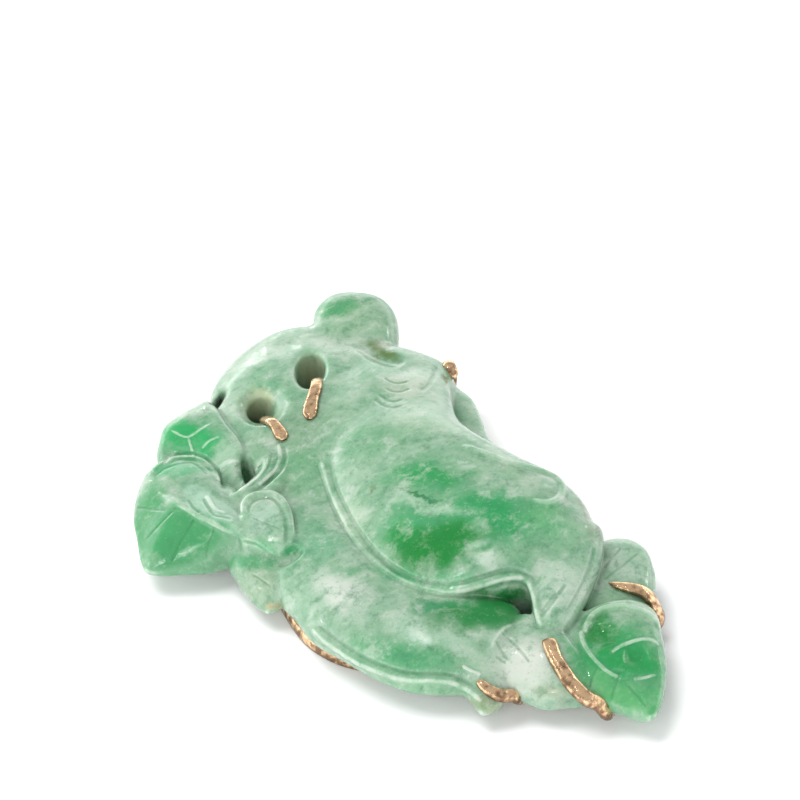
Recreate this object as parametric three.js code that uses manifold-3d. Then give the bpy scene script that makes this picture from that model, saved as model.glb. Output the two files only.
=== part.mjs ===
// Jade bean-pod pendant, pierced and carved in one piece, held by the six prongs of a gold wire frame.
// Millimetres, +Z up. The pendant lies on the flat underside of its wire frame, at z = 0.
// +Y runs from the pointed leaf end to the stem end, +X to the right when seen from above.

import * as THREE from 'three';
import { mergeVertices } from 'three/addons/utils/BufferGeometryUtils.js';
import Module from 'manifold-3d';

const wasm = await Module();
wasm.setup();

// Driving dimensions
const JADE_BACK = 1.4;            // height of the jade's ground-flat back above the table
const BELLY_DROP = 0.6;           // how far each form's back reaches below that before it is ground flat
const BELLY_SLOPE = 0.45;         // how fast a narrow form's back rises from its middle to its edge
const RIM_AT = 0.85;              // a raised rim's place, from the crest (0) to the edge (1)
const RIM_GROOVE_AT = 0.79;       // the groove beside it
const RIM_SPREAD = 0.04;          // how wide both are, on the same scale
const DISH_REACH = 0.7;           // how far out a dished form is hollowed, on the same scale
const RELIEF_FADE_WIDTH = 4;      // rims, midribs and dishes fade out where a form is narrower
const VEIN_HALF_WIDTH = 0.22;
const VEIN_DEPTH = 0.2;
const WIRE_WIDTH = 1.3;           // frame wire, flattened below
const WIRE_HEIGHT = 1.05;
const PRONG_WIDTH = 1.0;
const PRONG_THICKNESS = 0.7;
const PRONG_TIP_TAPER = 0.72;
const PRONG_SEAT = 0.3;           // room left between each prong and the groove it sits in
const STEPS_PER_RIB = 2;          // sections from one rib to the next
const HOLE_SIDES = 12;
const HOLE_TOP = 6.5;             // the height at which a hole has its top radii
const CUT_FLOOR = 0;              // through cuts run between these heights
const CUT_CEILING = 10;

// Each form of the carving is a row of ribs across it. A rib gives its left edge (x, y, z),
// its right edge (x, y, z) and the height of its crest.
// swell and edge set how full the form is, crest how far the ridge lies from the middle (-1 to 1),
// rim the height of a raised line just inside the edge, midrib that of a raised line on the crest.

const slab = {
  swell: 2.4, edge: 2.2, crest: 0.1, steps: 1,
  ribs: [
    [6.3, 23.1, 4.4, 9.4, 22.8, 4.4, 5.6],
    [4.4, 25.1, 4.0, 10.0, 20.0, 3.8, 5.8],
    [1.6, 26.3, 3.8, 10.9, 18.1, 3.7, 6.0],
    [-2.3, 25.1, 3.4, 12.4, 16.6, 4.2, 6.5],
    [-5.6, 22.2, 3.2, 12.9, 14.9, 4.4, 7.0],
    [-7.3, 18.4, 3.2, 11.6, 12.1, 4.6, 7.3],
    [-8.9, 13.9, 3.0, 9.0, 7.8, 4.6, 7.0],
    [-10.0, 8.4, 3.0, 4.1, 2.2, 4.4, 5.8],
    [-10.3, 3.2, 3.0, 2.2, -2.0, 4.2, 5.2],
    [-8.6, -0.8, 3.0, -0.4, -3.8, 4.0, 4.6],
  ],
};

const stemKnob = {
  swell: 2.6, edge: 2.6, crest: 0,
  ribs: [
    [3.2, 17.5, 5.0, 6.4, 16.5, 5.0, 6.0],
    [3.8, 21.4, 4.6, 8.9, 18.5, 4.6, 6.3],
    [4.4, 23.9, 4.6, 10.3, 19.9, 4.6, 6.9],
    [5.3, 26.0, 4.8, 11.4, 22.3, 4.8, 7.1],
    [6.7, 27.1, 4.8, 11.5, 24.4, 4.8, 6.8],
    [8.4, 27.2, 4.8, 10.6, 25.9, 4.8, 5.8],
  ],
};

const frontPod = {
  swell: 2.4, edge: 1.8, crest: 0.1, rim: 0.16,
  ribs: [
    [7.2, 18.2, 4.6, 11.0, 16.4, 4.4, 5.3],
    [4.6, 17.2, 5.0, 12.0, 15.2, 5.0, 6.3],
    [2.1, 15.4, 5.4, 11.3, 12.1, 6.0, 7.5],
    [-0.2, 12.3, 5.4, 9.9, 7.5, 6.6, 8.3],
    [-1.8, 8.4, 5.2, 10.3, 3.7, 6.8, 9.1],
    [-3.0, 3.6, 5.0, 12.2, -0.7, 7.0, 9.4],
    [-3.4, -1.4, 4.9, 13.6, -3.0, 7.0, 9.4],
    [-2.5, -6.2, 4.8, 14.5, -5.9, 6.6, 9.2],
    [0.3, -9.8, 4.8, 14.5, -8.3, 6.0, 8.7],
    [4.3, -11.1, 4.8, 14.6, -9.4, 6.2, 8.1],
    [6.7, -11.8, 5.2, 14.1, -10.6, 6.0, 7.5],
    [6.6, -12.9, 5.3, 13.2, -11.9, 5.8, 7.1],
    [6.2, -14.1, 5.1, 11.7, -13.6, 5.4, 6.6],
    [6.0, -15.2, 4.9, 10.2, -15.0, 5.0, 6.1],
    [6.1, -16.0, 4.7, 8.7, -16.2, 4.8, 5.6],
    [6.6, -16.6, 4.5, 7.4, -16.8, 4.6, 4.8],
  ],
};

const backValve = {
  swell: 2.2, edge: 2.2, crest: 0.05, steps: 1,
  ribs: [
    [8.5, 15.5, 4.4, 12.7, 15.4, 4.2, 4.7],
    [7.8, 14.1, 4.4, 12.8, 13.6, 4.3, 4.9],
    [7.6, 12.6, 4.4, 13.2, 11.6, 4.4, 5.0],
    [7.0, 10.3, 4.4, 12.8, 8.9, 4.4, 5.0],
    [6.8, 7.1, 4.6, 12.3, 6.3, 4.5, 5.1],
    [7.1, 3.9, 4.6, 12.8, 3.8, 4.8, 5.4],
    [7.3, 1.5, 4.8, 13.9, 1.4, 5.0, 5.8],
    [7.9, -1.8, 4.8, 14.9, -1.8, 5.2, 6.0],
    [8.9, -5.2, 4.6, 15.1, -5.2, 5.2, 6.0],
    [9.9, -8.7, 4.4, 14.8, -8.2, 4.9, 5.7],
    [9.7, -11.9, 4.2, 13.0, -11.4, 4.4, 5.0],
  ],
};

const lowerPod = {
  swell: 2.4, edge: 1.8, crest: -0.12, rim: 0.14,
  ribs: [
    [-9.4, 1.7, 3.4, -5.5, 6.3, 4.6, 4.9],
    [-10.2, -2.7, 3.0, -2.9, 5.1, 4.6, 5.3],
    [-9.9, -4.6, 2.8, -2.6, 1.0, 4.6, 5.6],
    [-9.6, -7.6, 2.7, -1.9, -3.0, 4.4, 5.8],
    [-8.3, -10.3, 2.6, -0.5, -6.0, 4.2, 5.6],
    [-6.8, -13.3, 2.5, 1.9, -8.1, 4.0, 5.4],
    [-5.0, -15.6, 2.4, 4.4, -10.3, 3.8, 5.2],
    [-3.0, -16.8, 2.4, 5.9, -12.3, 3.8, 4.9],
    [-1.5, -17.3, 2.2, 5.1, -14.8, 3.6, 4.4],
    [-1.1, -18.2, 2.0, 3.7, -16.8, 3.0, 3.6],
    [-1.0, -19.1, 1.8, 2.4, -18.5, 2.4, 2.8],
    [-0.9, -19.8, 1.6, 1.1, -19.6, 2.0, 2.2],
    [-0.3, -20.0, 1.6, 0.2, -19.9, 1.6, 1.8],
  ],
};

const largeLeaf = {
  swell: 1.3, edge: 1.4, crest: 0.05, midrib: 0.15,
  ribs: [
    [-14.1, 14.7, 3.6, -14.5, 14.5, 3.6, 3.8],
    [-13.3, 15.0, 3.8, -15.6, 13.7, 3.2, 4.4],
    [-11.6, 15.3, 4.2, -16.9, 11.5, 2.8, 5.0],
    [-10.4, 13.9, 4.6, -17.6, 9.0, 2.5, 5.4],
    [-9.8, 11.7, 4.9, -18.2, 6.8, 2.3, 5.6],
    [-9.8, 10.7, 5.0, -18.1, 5.4, 2.3, 5.6],
    [-9.9, 9.2, 5.0, -16.1, 4.5, 2.3, 5.6],
    [-10.0, 6.2, 5.0, -13.9, 3.8, 2.3, 5.4],
    [-9.8, 3.8, 4.8, -12.2, 3.6, 2.6, 5.2],
    [-9.7, 2.1, 4.4, -10.5, 2.4, 3.2, 4.6],
  ],
};

const upperLeaf = {
  swell: 2.2, edge: 1.9, crest: 0.15,
  ribs: [
    [-12.9, 16.1, 3.6, -12.6, 17.0, 3.6, 3.8],
    [-12.9, 14.7, 3.4, -11.0, 19.3, 3.7, 4.7],
    [-11.7, 13.9, 3.4, -9.4, 20.0, 3.8, 5.2],
    [-10.6, 12.6, 3.6, -7.8, 20.5, 3.8, 5.4],
    [-9.8, 11.1, 3.8, -6.3, 20.7, 3.8, 5.6],
    [-8.8, 10.2, 4.2, -6.5, 16.8, 4.6, 5.8],
    [-7.8, 10.3, 4.6, -6.5, 14.4, 5.0, 5.8],
    [-7.1, 10.8, 5.0, -6.7, 12.0, 5.0, 5.4],
  ],
};

const curledLeaf = {
  swell: 4, edge: 2.6, crest: 0, rim: 0.15, dish: 0.2,
  ribs: [
    [-7.9, 7.3, 5.3, -7.2, 7.0, 5.3, 5.6],
    [-9.0, 7.3, 5.2, -6.3, 6.0, 5.3, 6.0],
    [-9.9, 6.0, 5.1, -6.2, 4.6, 5.2, 6.1],
    [-10.8, 4.2, 4.8, -6.6, 2.8, 4.9, 5.9],
    [-11.1, 2.7, 4.5, -7.4, 1.4, 4.6, 5.5],
    [-10.0, 1.5, 4.2, -8.3, 0.6, 4.3, 5.0],
    [-9.2, 0.4, 4.1, -8.8, 0.3, 4.1, 4.3],
  ],
};

const underLeaf = {
  swell: 2.2, edge: 2.0, crest: 0.05, steps: 1,
  ribs: [
    [-11.1, 4.3, 3.2, -7.6, 2.3, 3.8, 4.8],
    [-12.1, 3.3, 2.4, -7.9, 0.7, 3.6, 4.4],
    [-12.1, 1.8, 2.2, -8.6, -0.8, 3.2, 4.0],
    [-12.0, 0.0, 2.0, -9.4, -1.9, 2.9, 3.6],
    [-11.7, -1.4, 1.9, -9.9, -2.6, 2.6, 3.0],
    [-11.3, -2.4, 1.8, -10.7, -2.6, 2.0, 2.2],
  ],
};

const endLeaf = {
  swell: 2.6, edge: 2.0, crest: 0.05, dish: 0.2,
  ribs: [
    [7.8, -15.7, 4.0, 8.7, -15.3, 4.2, 4.5],
    [7.1, -16.6, 3.4, 10.5, -15.2, 4.0, 4.7],
    [6.9, -18.3, 3.0, 12.8, -14.9, 3.8, 4.9],
    [6.7, -20.4, 2.8, 14.8, -15.3, 3.6, 4.9],
    [7.0, -22.3, 2.6, 15.6, -17.0, 3.4, 4.8],
    [7.9, -23.7, 2.5, 14.9, -19.5, 3.2, 4.5],
    [8.9, -24.8, 2.5, 13.9, -22.2, 3.0, 4.0],
    [9.8, -25.7, 2.4, 12.4, -24.6, 2.8, 3.4],
    [10.3, -26.2, 2.4, 11.0, -26.1, 2.4, 2.6],
  ],
};

const sideLeaf = {
  swell: 2.4, edge: 2.0, crest: 0.05, steps: 1,
  ribs: [
    [10.5, -12.9, 3.6, 12.3, -10.7, 3.8, 4.4],
    [10.9, -15.1, 3.0, 14.7, -8.3, 3.8, 4.6],
    [12.5, -16.0, 2.8, 16.3, -8.0, 3.7, 4.6],
    [14.2, -16.1, 2.8, 17.7, -8.6, 3.5, 4.4],
    [16.0, -15.2, 2.8, 18.3, -10.0, 3.3, 4.0],
    [17.3, -13.6, 2.9, 17.9, -12.2, 3.1, 3.4],
  ],
};

const paleLeaf = {
  swell: 2.4, edge: 2.0, crest: 0, steps: 1,
  ribs: [
    [5.1, -13.4, 4.2, 6.0, -13.8, 4.4, 4.7],
    [4.0, -13.5, 3.8, 7.1, -15.0, 4.4, 4.8],
    [2.5, -14.5, 3.4, 7.8, -16.9, 4.2, 4.8],
    [0.9, -15.9, 3.0, 7.9, -19.1, 4.0, 4.6],
    [1.5, -17.7, 2.6, 7.9, -20.8, 3.4, 4.2],
    [2.5, -19.8, 2.3, 7.5, -22.0, 3.0, 3.7],
    [3.8, -21.3, 2.2, 6.6, -22.2, 2.4, 3.0],
    [5.1, -21.7, 2.2, 5.6, -21.7, 2.2, 2.4],
  ],
};

// Round stalks that lie on the carving: x, y, z of the middle and the radius
const stalks = [
  [[-10.7, 7.1, 4.3, 0.5], [-9.4, 7.6, 5.0, 0.6], [-7.5, 8.3, 5.2, 0.7], [-5.9, 9.6, 5.3, 0.7],
    [-5.0, 12.0, 5.2, 0.5]],
  [[-9.2, 5.6, 5.2, 0.5], [-7.6, 6.7, 5.2, 0.65], [-5.6, 7.9, 5.2, 0.65], [-4.4, 9.9, 5.2, 0.5]],
  [[-11.9, 8.7, 5.1, 0.3], [-12.3, 7.0, 5.2, 0.45], [-12.1, 5.7, 5.3, 0.5], [-11.4, 5.0, 5.3, 0.5],
    [-10.7, 3.6, 5.2, 0.4]],
];

// Openings that go right through: middle and radii at the top and at the back, turn in degrees
const piercings = [
  { top: [-3.6, 16.3], topRadii: [1.25, 1.8], back: [-3.3, 17.9], backRadii: [0.6, 0.8], turn: -15 },
  { top: [1.6, 18.3], topRadii: [1.2, 2.4], back: [2.8, 19.2], backRadii: [0.7, 1.0], turn: -25 },
  { top: [-5.9, 20.2], topRadii: [0.45, 1.1], back: [-5.7, 20.1], backRadii: [0.45, 1.1], turn: -45 },
];

// The gap between the two pods, covered above by the front pod
const podGap = {
  top: [6.3, -12.0], topRadii: [0.9, 1.3], back: [7.0, -10.6], backRadii: [0.9, 1.5], turn: -10,
};

// The deep notch beside the stalks, which stops short of the back
const stemNotch = {
  top: [-7.2, 10.7], topRadii: [0.6, 1.7], back: [-7.3, 10.2], backRadii: [0.3, 0.6], turn: -12,
  floor: 2.2,
};

// Engraved lines, seen from above
const veins = [
  [[-16.5, 11.9], [-15.8, 10.0], [-14.8, 8.3]],
  [[-14.7, 8.2], [-15.4, 6.8], [-16.3, 5.6]],
  [[-14.4, 7.9], [-14.0, 6.0], [-14.0, 4.8]],
  [[-11.1, 18.0], [-10.2, 16.4], [-9.1, 16.2], [-7.8, 16.5]],
  [[9.5, -17.2], [11.3, -16.8], [12.9, -17.1], [14.3, -17.4]],
  [[8.7, -17.7], [8.4, -19.2], [8.5, -20.6], [8.9, -21.6], [9.6, -22.9]],
  [[9.9, -20.6], [10.9, -20.3], [12.1, -20.6], [13.5, -21.1]],
  [[3.0, -15.4], [3.3, -17.1], [3.7, -18.6]],
];

// Prongs, from the tip on the jade, over its edge or through a hole, to the foot on the frame: x, y, z.
// The wire that shows beside the lower pod is a stretch of the frame's own loop.
const prongs = [
  [[-3.7, 11.3, 6.2], [-3.7, 12.0, 6.3], [-3.7, 13.0, 6.4], [-3.8, 14.1, 6.2], [-3.8, 15.1, 5.6],
    [-3.5, 16.6, 4.0], [-3.2, 17.9, 2.2], [-3.0, 18.7, 0.6]],
  [[-1.1, 12.2, 6.7], [-0.6, 13.1, 6.8], [0.1, 14.2, 6.9], [0.9, 15.3, 7.0], [1.8, 16.6, 6.5],
    [2.6, 18.1, 4.8], [3.0, 19.3, 2.4], [3.1, 19.9, 0.6]],
  [[12.7, 13.9, 5.2], [12.8, 14.5, 5.6], [12.9, 15.2, 5.8], [13.3, 15.9, 5.0], [13.5, 16.3, 3.2],
    [13.0, 16.0, 1.4], [11.6, 15.0, 0.6]],
  [[13.3, -13.2, 4.9], [14.5, -14.1, 4.6], [15.4, -14.6, 4.2], [16.1, -15.2, 3.6], [16.5, -15.8, 2.6],
    [16.4, -15.9, 1.3], [15.3, -15.4, 0.6], [13.9, -14.6, 0.6]],
  [[5.9, -17.4, 5.2], [5.6, -19.3, 5.0], [5.7, -20.6, 4.6], [5.9, -22.0, 4.1], [6.4, -23.0, 3.5],
    [7.2, -23.6, 2.8], [8.1, -23.6, 1.9], [8.8, -22.9, 1.1], [9.1, -21.7, 0.6], [9.1, -20.4, 0.6]],
  [[-0.2, -17.9, 3.6], [0.3, -19.0, 3.2], [0.9, -19.5, 3.0], [1.7, -19.7, 2.6], [2.6, -19.4, 2.0],
    [3.1, -18.6, 1.1], [3.2, -17.7, 0.6], [3.1, -16.9, 0.6]],
];

// The frame wire's loop behind the jade, and its two cross bars: x, y
const frameLoop = [
  [11.2, 14.6], [11.4, 9.5], [11.0, 4.5], [12.2, -1.5], [13.0, -6.5], [13.4, -11.0], [13.8, -15.0],
  [12.6, -18.6], [10.6, -20.6], [8.4, -20.0], [5.8, -18.6], [3.2, -17.0], [1.3, -14.4], [-0.8, -12.5],
  [-3.4, -11.1], [-5.6, -9.8], [-7.4, -8.0], [-8.5, -5.7], [-8.8, -3.3], [-8.7, 0.0], [-8.5, 4.0],
  [-8.3, 8.5], [-7.6, 13.0], [-6.0, 17.4], [-3.0, 21.2], [1.2, 23.0], [5.2, 22.2], [8.8, 19.6], [10.6, 17.0],
];
const crossBars = [
  [[-5.2, 18.8], [-3.0, 18.7], [0.0, 19.4], [3.1, 19.9], [6.0, 19.9], [8.9, 19.5]],
  [[-7.4, -8.0], [-3.0, -9.2], [3.0, -9.6], [8.6, -9.4], [13.2, -8.6]],
];

const jadeMaterial = new THREE.MeshStandardMaterial({ color: 0x8fc7a0, roughness: 0.25, metalness: 0 });
const goldMaterial = new THREE.MeshStandardMaterial({ color: 0xd2a074, roughness: 0.3, metalness: 1 });

// Closed mesh from rings of equal length, with a fan over each end, or joined end to end
function skin(rings, endless = false) {
  const around = rings[0].length;
  const positions = rings.flat().flatMap((point) => point.toArray());
  const faces = [];
  const last = endless ? rings.length : rings.length - 1;
  for (let i = 0; i < last; i += 1) {
    const next = (i + 1) % rings.length;
    for (let j = 0; j < around; j += 1) {
      const k = (j + 1) % around;
      faces.push(i * around + j, i * around + k, next * around + k);
      faces.push(i * around + j, next * around + k, next * around + j);
    }
  }
  if (!endless) {
    for (const [ring, flip] of [[0, true], [rings.length - 1, false]]) {
      const centre = positions.length / 3;
      const middle = new THREE.Vector3();
      rings[ring].forEach((point) => middle.addScaledVector(point, 1 / around));
      positions.push(...middle.toArray());
      for (let j = 0; j < around; j += 1) {
        const a = ring * around + j;
        const b = ring * around + (j + 1) % around;
        faces.push(centre, flip ? b : a, flip ? a : b);
      }
    }
  }
  const geometry = new THREE.BufferGeometry();
  geometry.setAttribute('position', new THREE.Float32BufferAttribute(positions, 3));
  geometry.setIndex(faces);
  return geometry;
}

function volumeOf(geometry) {
  const { array } = geometry.attributes.position;
  const corner = (i) => new THREE.Vector3().fromArray(array, geometry.index.array[i] * 3);
  let sum = 0;
  for (let i = 0; i < geometry.index.count; i += 3) {
    sum += corner(i).dot(corner(i + 1).cross(corner(i + 2))) / 6;
  }
  return sum;
}

// A solid for cutting and joining, faces turned outwards
function solid(geometry) {
  const merged = mergeVertices(geometry, 1e-4);
  const triVerts = Uint32Array.from(merged.index.array);
  if (volumeOf(merged) < 0) {
    for (let i = 0; i < triVerts.length; i += 3) {
      [triVerts[i], triVerts[i + 1]] = [triVerts[i + 1], triVerts[i]];
    }
  }
  const vertProperties = Float32Array.from(merged.attributes.position.array);
  return new wasm.Manifold(new wasm.Mesh({ numProp: 3, vertProperties, triVerts }));
}

function geometryOf(manifold) {
  const { vertProperties, triVerts } = manifold.getMesh();
  const geometry = new THREE.BufferGeometry();
  geometry.setAttribute('position', new THREE.Float32BufferAttribute(vertProperties, 3));
  geometry.setIndex(Array.from(triVerts));
  return geometry;
}

// Smooth curve through points of any number of values, as rows of steps
function smoothRows(rows, steps, endless = false) {
  const count = rows.length;
  const at = (i) => {
    if (endless) return rows[(i + count) % count];
    if (i < 0) return rows[0].map((value, k) => 2 * value - rows[1][k]);
    if (i >= count) return rows[count - 1].map((value, k) => 2 * value - rows[count - 2][k]);
    return rows[i];
  };
  const spans = endless ? count : count - 1;
  const result = [];
  for (let i = 0; i < spans; i += 1) {
    const [p0, p1, p2, p3] = [at(i - 1), at(i), at(i + 1), at(i + 2)];
    for (let s = 0; s < steps; s += 1) {
      const t = s / steps;
      result.push(p1.map((value, k) => 0.5 * (2 * value + (p2[k] - p0[k]) * t
        + (2 * p0[k] - 5 * value + 4 * p2[k] - p3[k]) * t * t
        + (3 * value - p0[k] - 3 * p2[k] + p3[k]) * t * t * t)));
    }
  }
  if (!endless) result.push(rows[count - 1]);
  return result;
}

// How far out from crest (0) to edge (1) each point of a section lies
const PLAIN_STOPS = [1, 0.94, 0.76, 0.4];
const RIM_STOPS = [1, 0.94, 0.85, 0.79, 0.7, 0.42];
const BACK_STOPS = [-0.8, 0, 0.8];

const bump = (out, middle) => Math.exp(-(((out - middle) / RIM_SPREAD) ** 2));

function formGeometry({
  swell, edge, crest, rim = 0, midrib = 0, dish = 0, steps = STEPS_PER_RIB, ribs,
}) {
  const stops = rim ? RIM_STOPS : PLAIN_STOPS;
  const leftStops = stops.map((s) => -s);
  const rightStops = stops.slice().reverse();
  const across = [...leftStops, 0, ...rightStops];
  const rings = smoothRows(ribs, steps).map(([lx, ly, lz, rx, ry, rz, top]) => {
    const left = new THREE.Vector3(lx, ly, lz);
    const right = new THREE.Vector3(rx, ry, rz);
    const width = left.distanceTo(right);
    const crestLine = lz + (rz - lz) * (crest + 1) / 2;
    const rise = Math.max(top - crestLine, 0.05);
    const fade = Math.min(1, width / RELIEF_FADE_WIDTH);
    const ring = across.map((s) => {
      const u = s < 0 ? crest + s * (1 + crest) : crest + s * (1 - crest);
      const point = left.clone().lerp(right, (u + 1) / 2);
      const out = Math.abs(s);
      point.z += rise * Math.max(0, 1 - out ** swell) ** (1 / edge);
      point.z += rim * fade * (bump(out, RIM_AT) - bump(out, RIM_GROOVE_AT));
      point.z -= dish * fade * Math.max(0, 1 - (out / DISH_REACH) ** 2);
      if (s === 0) point.z += midrib * fade;
      return point;
    });
    BACK_STOPS.slice().reverse().forEach((u) => {
      const point = left.clone().lerp(right, (u + 1) / 2);
      const back = Math.max(JADE_BACK - BELLY_DROP, point.z - BELLY_SLOPE * width);
      point.z -= (point.z - back) * Math.sqrt(1 - Math.abs(u) ** 3);
      ring.push(point);
    });
    return ring;
  });
  return skin(rings);
}

// A bar of a given section swept along a path. The section's own axes are across the path and up.
function sweep(path, sectionAt, endless = false) {
  const points = path.map(([x, y, z]) => new THREE.Vector3(x, y, z));
  const count = points.length;
  let side = null;
  const rings = points.map((point, i) => {
    const before = points[endless ? (i + count - 1) % count : Math.max(i - 1, 0)];
    const after = points[endless ? (i + 1) % count : Math.min(i + 1, count - 1)];
    const along = after.clone().sub(before).normalize();
    if (!side || endless) side = new THREE.Vector3(0, 0, 1).cross(along).normalize();
    side.addScaledVector(along, -side.dot(along)).normalize();
    const up = along.clone().cross(side);
    return sectionAt(i / (count - 1), path[i]).map(([a, b]) => (
      point.clone().addScaledVector(side, a).addScaledVector(up, b)));
  });
  return skin(rings, endless);
}

function oval(width, height, sides = 6) {
  return Array.from({ length: sides }, (_, i) => {
    const angle = (i + 0.5) / sides * 2 * Math.PI;
    return [Math.cos(angle) * width / 2, Math.sin(angle) * height / 2];
  });
}

// Half-round wire, flat below, its underside at z = 0
const WIRE_SECTION = [
  [-0.5, 0], [0.5, 0], [0.5, 0.45], [0.34, 0.85], [0, 1], [-0.34, 0.85], [-0.5, 0.45],
].map(([across, up]) => [across * WIRE_WIDTH, up * WIRE_HEIGHT]);

function wireGeometry(route, endless) {
  return sweep(route.map(([x, y]) => [x, y, 0]), () => WIRE_SECTION, endless);
}

function prongGeometry(route, extra = 0) {
  const path = route.slice();
  if (extra) {
    const [tip, second] = path;
    const reach = extra / Math.hypot(...tip.map((value, k) => value - second[k]));
    path.unshift(tip.map((value, k) => value + (value - second[k]) * reach));
  }
  return sweep(path, (t) => {
    const taper = t === 0 ? PRONG_TIP_TAPER : 1;
    return oval(PRONG_WIDTH * taper + 2 * extra, PRONG_THICKNESS * taper + 2 * extra);
  });
}

function stalkGeometry(route) {
  return sweep(smoothRows(route, 2), (_, [, , , radius]) => oval(2 * radius, 2 * radius));
}

// A tapering oval hole, leaning from its middle at the top to its middle at the back
function piercing({ top, topRadii, back, backRadii, turn, floor = CUT_FLOOR }) {
  const angle = THREE.MathUtils.degToRad(turn);
  const ring = (height) => {
    const t = (height - JADE_BACK) / (HOLE_TOP - JADE_BACK);
    const mix = (low, high) => low + (high - low) * t;
    return Array.from({ length: HOLE_SIDES }, (_, i) => {
      const a = i / HOLE_SIDES * 2 * Math.PI;
      const x = Math.cos(a) * mix(backRadii[0], topRadii[0]);
      const y = Math.sin(a) * mix(backRadii[1], topRadii[1]);
      return new THREE.Vector3(
        mix(back[0], top[0]) + x * Math.cos(angle) - y * Math.sin(angle),
        mix(back[1], top[1]) + x * Math.sin(angle) + y * Math.cos(angle), height);
    });
  };
  return skin([ring(floor), ring(CUT_CEILING)]);
}

// A block under the whole carving, up to its flat back
function grindingBlock() {
  const depth = 10;
  const block = new THREE.BoxGeometry(80, 80, depth);
  block.translate(0, 0, JADE_BACK - depth / 2);
  block.deleteAttribute('normal');
  block.deleteAttribute('uv');
  return block;
}

const join = (manifolds) => manifolds.reduce((whole, next) => whole.add(next));

// Height of the jade's upper face at a place seen from above
function surfaceUnder(manifold) {
  const mesh = new THREE.Mesh(geometryOf(manifold));
  mesh.geometry.computeBoundingSphere();
  const down = new THREE.Vector3(0, 0, -1);
  return (x, y) => {
    const [hit] = new THREE.Raycaster(new THREE.Vector3(x, y, 20), down).intersectObject(mesh);
    return hit ? hit.point.z : JADE_BACK;
  };
}

function carveJade() {
  const lower = [slab, backValve, lowerPod, sideLeaf, paleLeaf, endLeaf, underLeaf, largeLeaf, upperLeaf];
  const raised = [stemKnob, frontPod, curledLeaf];
  let jade = join(lower.map((form) => solid(formGeometry(form))));
  jade = jade.subtract(solid(piercing(podGap)));
  jade = join([jade, ...raised.map((form) => solid(formGeometry(form)))]);
  jade = join([jade, ...stalks.map((route) => solid(stalkGeometry(route)))]);
  jade = jade.subtract(solid(grindingBlock()));
  piercings.forEach((hole) => {
    jade = jade.subtract(solid(piercing(hole)));
  });
  jade = jade.subtract(solid(piercing(stemNotch)));
  const heightAt = surfaceUnder(jade);
  veins.forEach((route) => {
    const path = route.map(([x, y]) => [x, y, heightAt(x, y)]);
    const cutter = sweep(path, () => [
      [-VEIN_HALF_WIDTH, 0.02], [0, -VEIN_DEPTH], [VEIN_HALF_WIDTH, 0.02], [0, VEIN_HALF_WIDTH]]);
    jade = jade.subtract(solid(cutter));
  });
  prongs.forEach((route) => {
    jade = jade.subtract(solid(prongGeometry(route, PRONG_SEAT)));
  });
  return jade;
}

function bendGold() {
  const wires = [wireGeometry(frameLoop, true), ...crossBars.map((route) => wireGeometry(route, false))];
  return join([...wires, ...prongs.map((route) => prongGeometry(route))].map(solid));
}

function piece(name, manifold, material) {
  const mesh = new THREE.Mesh(geometryOf(manifold), material);
  mesh.name = name;
  return mesh;
}

const group = new THREE.Group();
group.add(piece('jade_carving', carveJade(), jadeMaterial));
group.add(piece('gold_mount', bendGold(), goldMaterial));

// The origin goes under the middle of the whole pendant
const outline = new THREE.Box3().setFromObject(group);
const middle = outline.getCenter(new THREE.Vector3());
group.children.forEach((mesh) => mesh.geometry.translate(-middle.x, -middle.y, -outline.min.z));

export default group;
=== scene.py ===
# A jade bean-pod pendant in its gold wire mount, lying on its back on a pale table.
# Lengths are millimetres in the part's own frame, and turn to metres where a mesh is made.

import math

import bpy
import numpy as np
import openvdb
from mathutils import Matrix, Vector


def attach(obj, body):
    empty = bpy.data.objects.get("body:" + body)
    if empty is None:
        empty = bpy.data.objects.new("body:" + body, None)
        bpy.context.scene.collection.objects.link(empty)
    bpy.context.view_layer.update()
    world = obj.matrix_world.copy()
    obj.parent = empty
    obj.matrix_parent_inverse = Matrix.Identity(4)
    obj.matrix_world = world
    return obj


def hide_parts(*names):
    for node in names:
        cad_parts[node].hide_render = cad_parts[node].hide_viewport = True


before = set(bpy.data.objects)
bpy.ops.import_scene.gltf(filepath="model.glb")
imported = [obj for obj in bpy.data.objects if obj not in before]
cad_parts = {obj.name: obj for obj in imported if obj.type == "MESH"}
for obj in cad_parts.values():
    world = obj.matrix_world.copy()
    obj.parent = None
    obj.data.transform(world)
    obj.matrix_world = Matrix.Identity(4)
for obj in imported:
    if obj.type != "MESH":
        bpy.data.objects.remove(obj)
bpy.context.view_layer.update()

MM = 0.001
# The pendant's middle on the sheet that its shapes are drawn on
SHEET_MIDDLE = np.array((-0.006, 0.506, 0.0))

# The photograph's view: a long lens from the pendant's lower left, 40 degrees above the table
PHOTO_SIZE = 800
MM_PER_PIXEL = 0.0834
VIEW_DISTANCE = 400.0
VIEW_TARGET = np.array((10.0, 18.9, 0.0)) - SHEET_MIDDLE
VIEW_TURN = math.radians(-24.6)
VIEW_HEIGHT = math.radians(40.0)
VIEW_BACK = np.array((
    math.sin(VIEW_TURN) * math.cos(VIEW_HEIGHT),
    -math.cos(VIEW_TURN) * math.cos(VIEW_HEIGHT),
    math.sin(VIEW_HEIGHT)))
VIEW_RIGHT = np.array((math.cos(VIEW_TURN), math.sin(VIEW_TURN), 0.0))
VIEW_UP = np.cross(VIEW_BACK, VIEW_RIGHT)
VIEW_POINT = VIEW_TARGET + VIEW_BACK * VIEW_DISTANCE

# A line of sight comes down to the jade from above it in strides that shorten near the surface
SIGHT_TOP = 11.0
SIGHT_FLOOR = 0.3
SIGHT_TOUCH = 0.01
SIGHT_STRIDES = 400
STRIDE_SHARE = 0.7
LONGEST_STRIDE = 0.3

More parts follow.
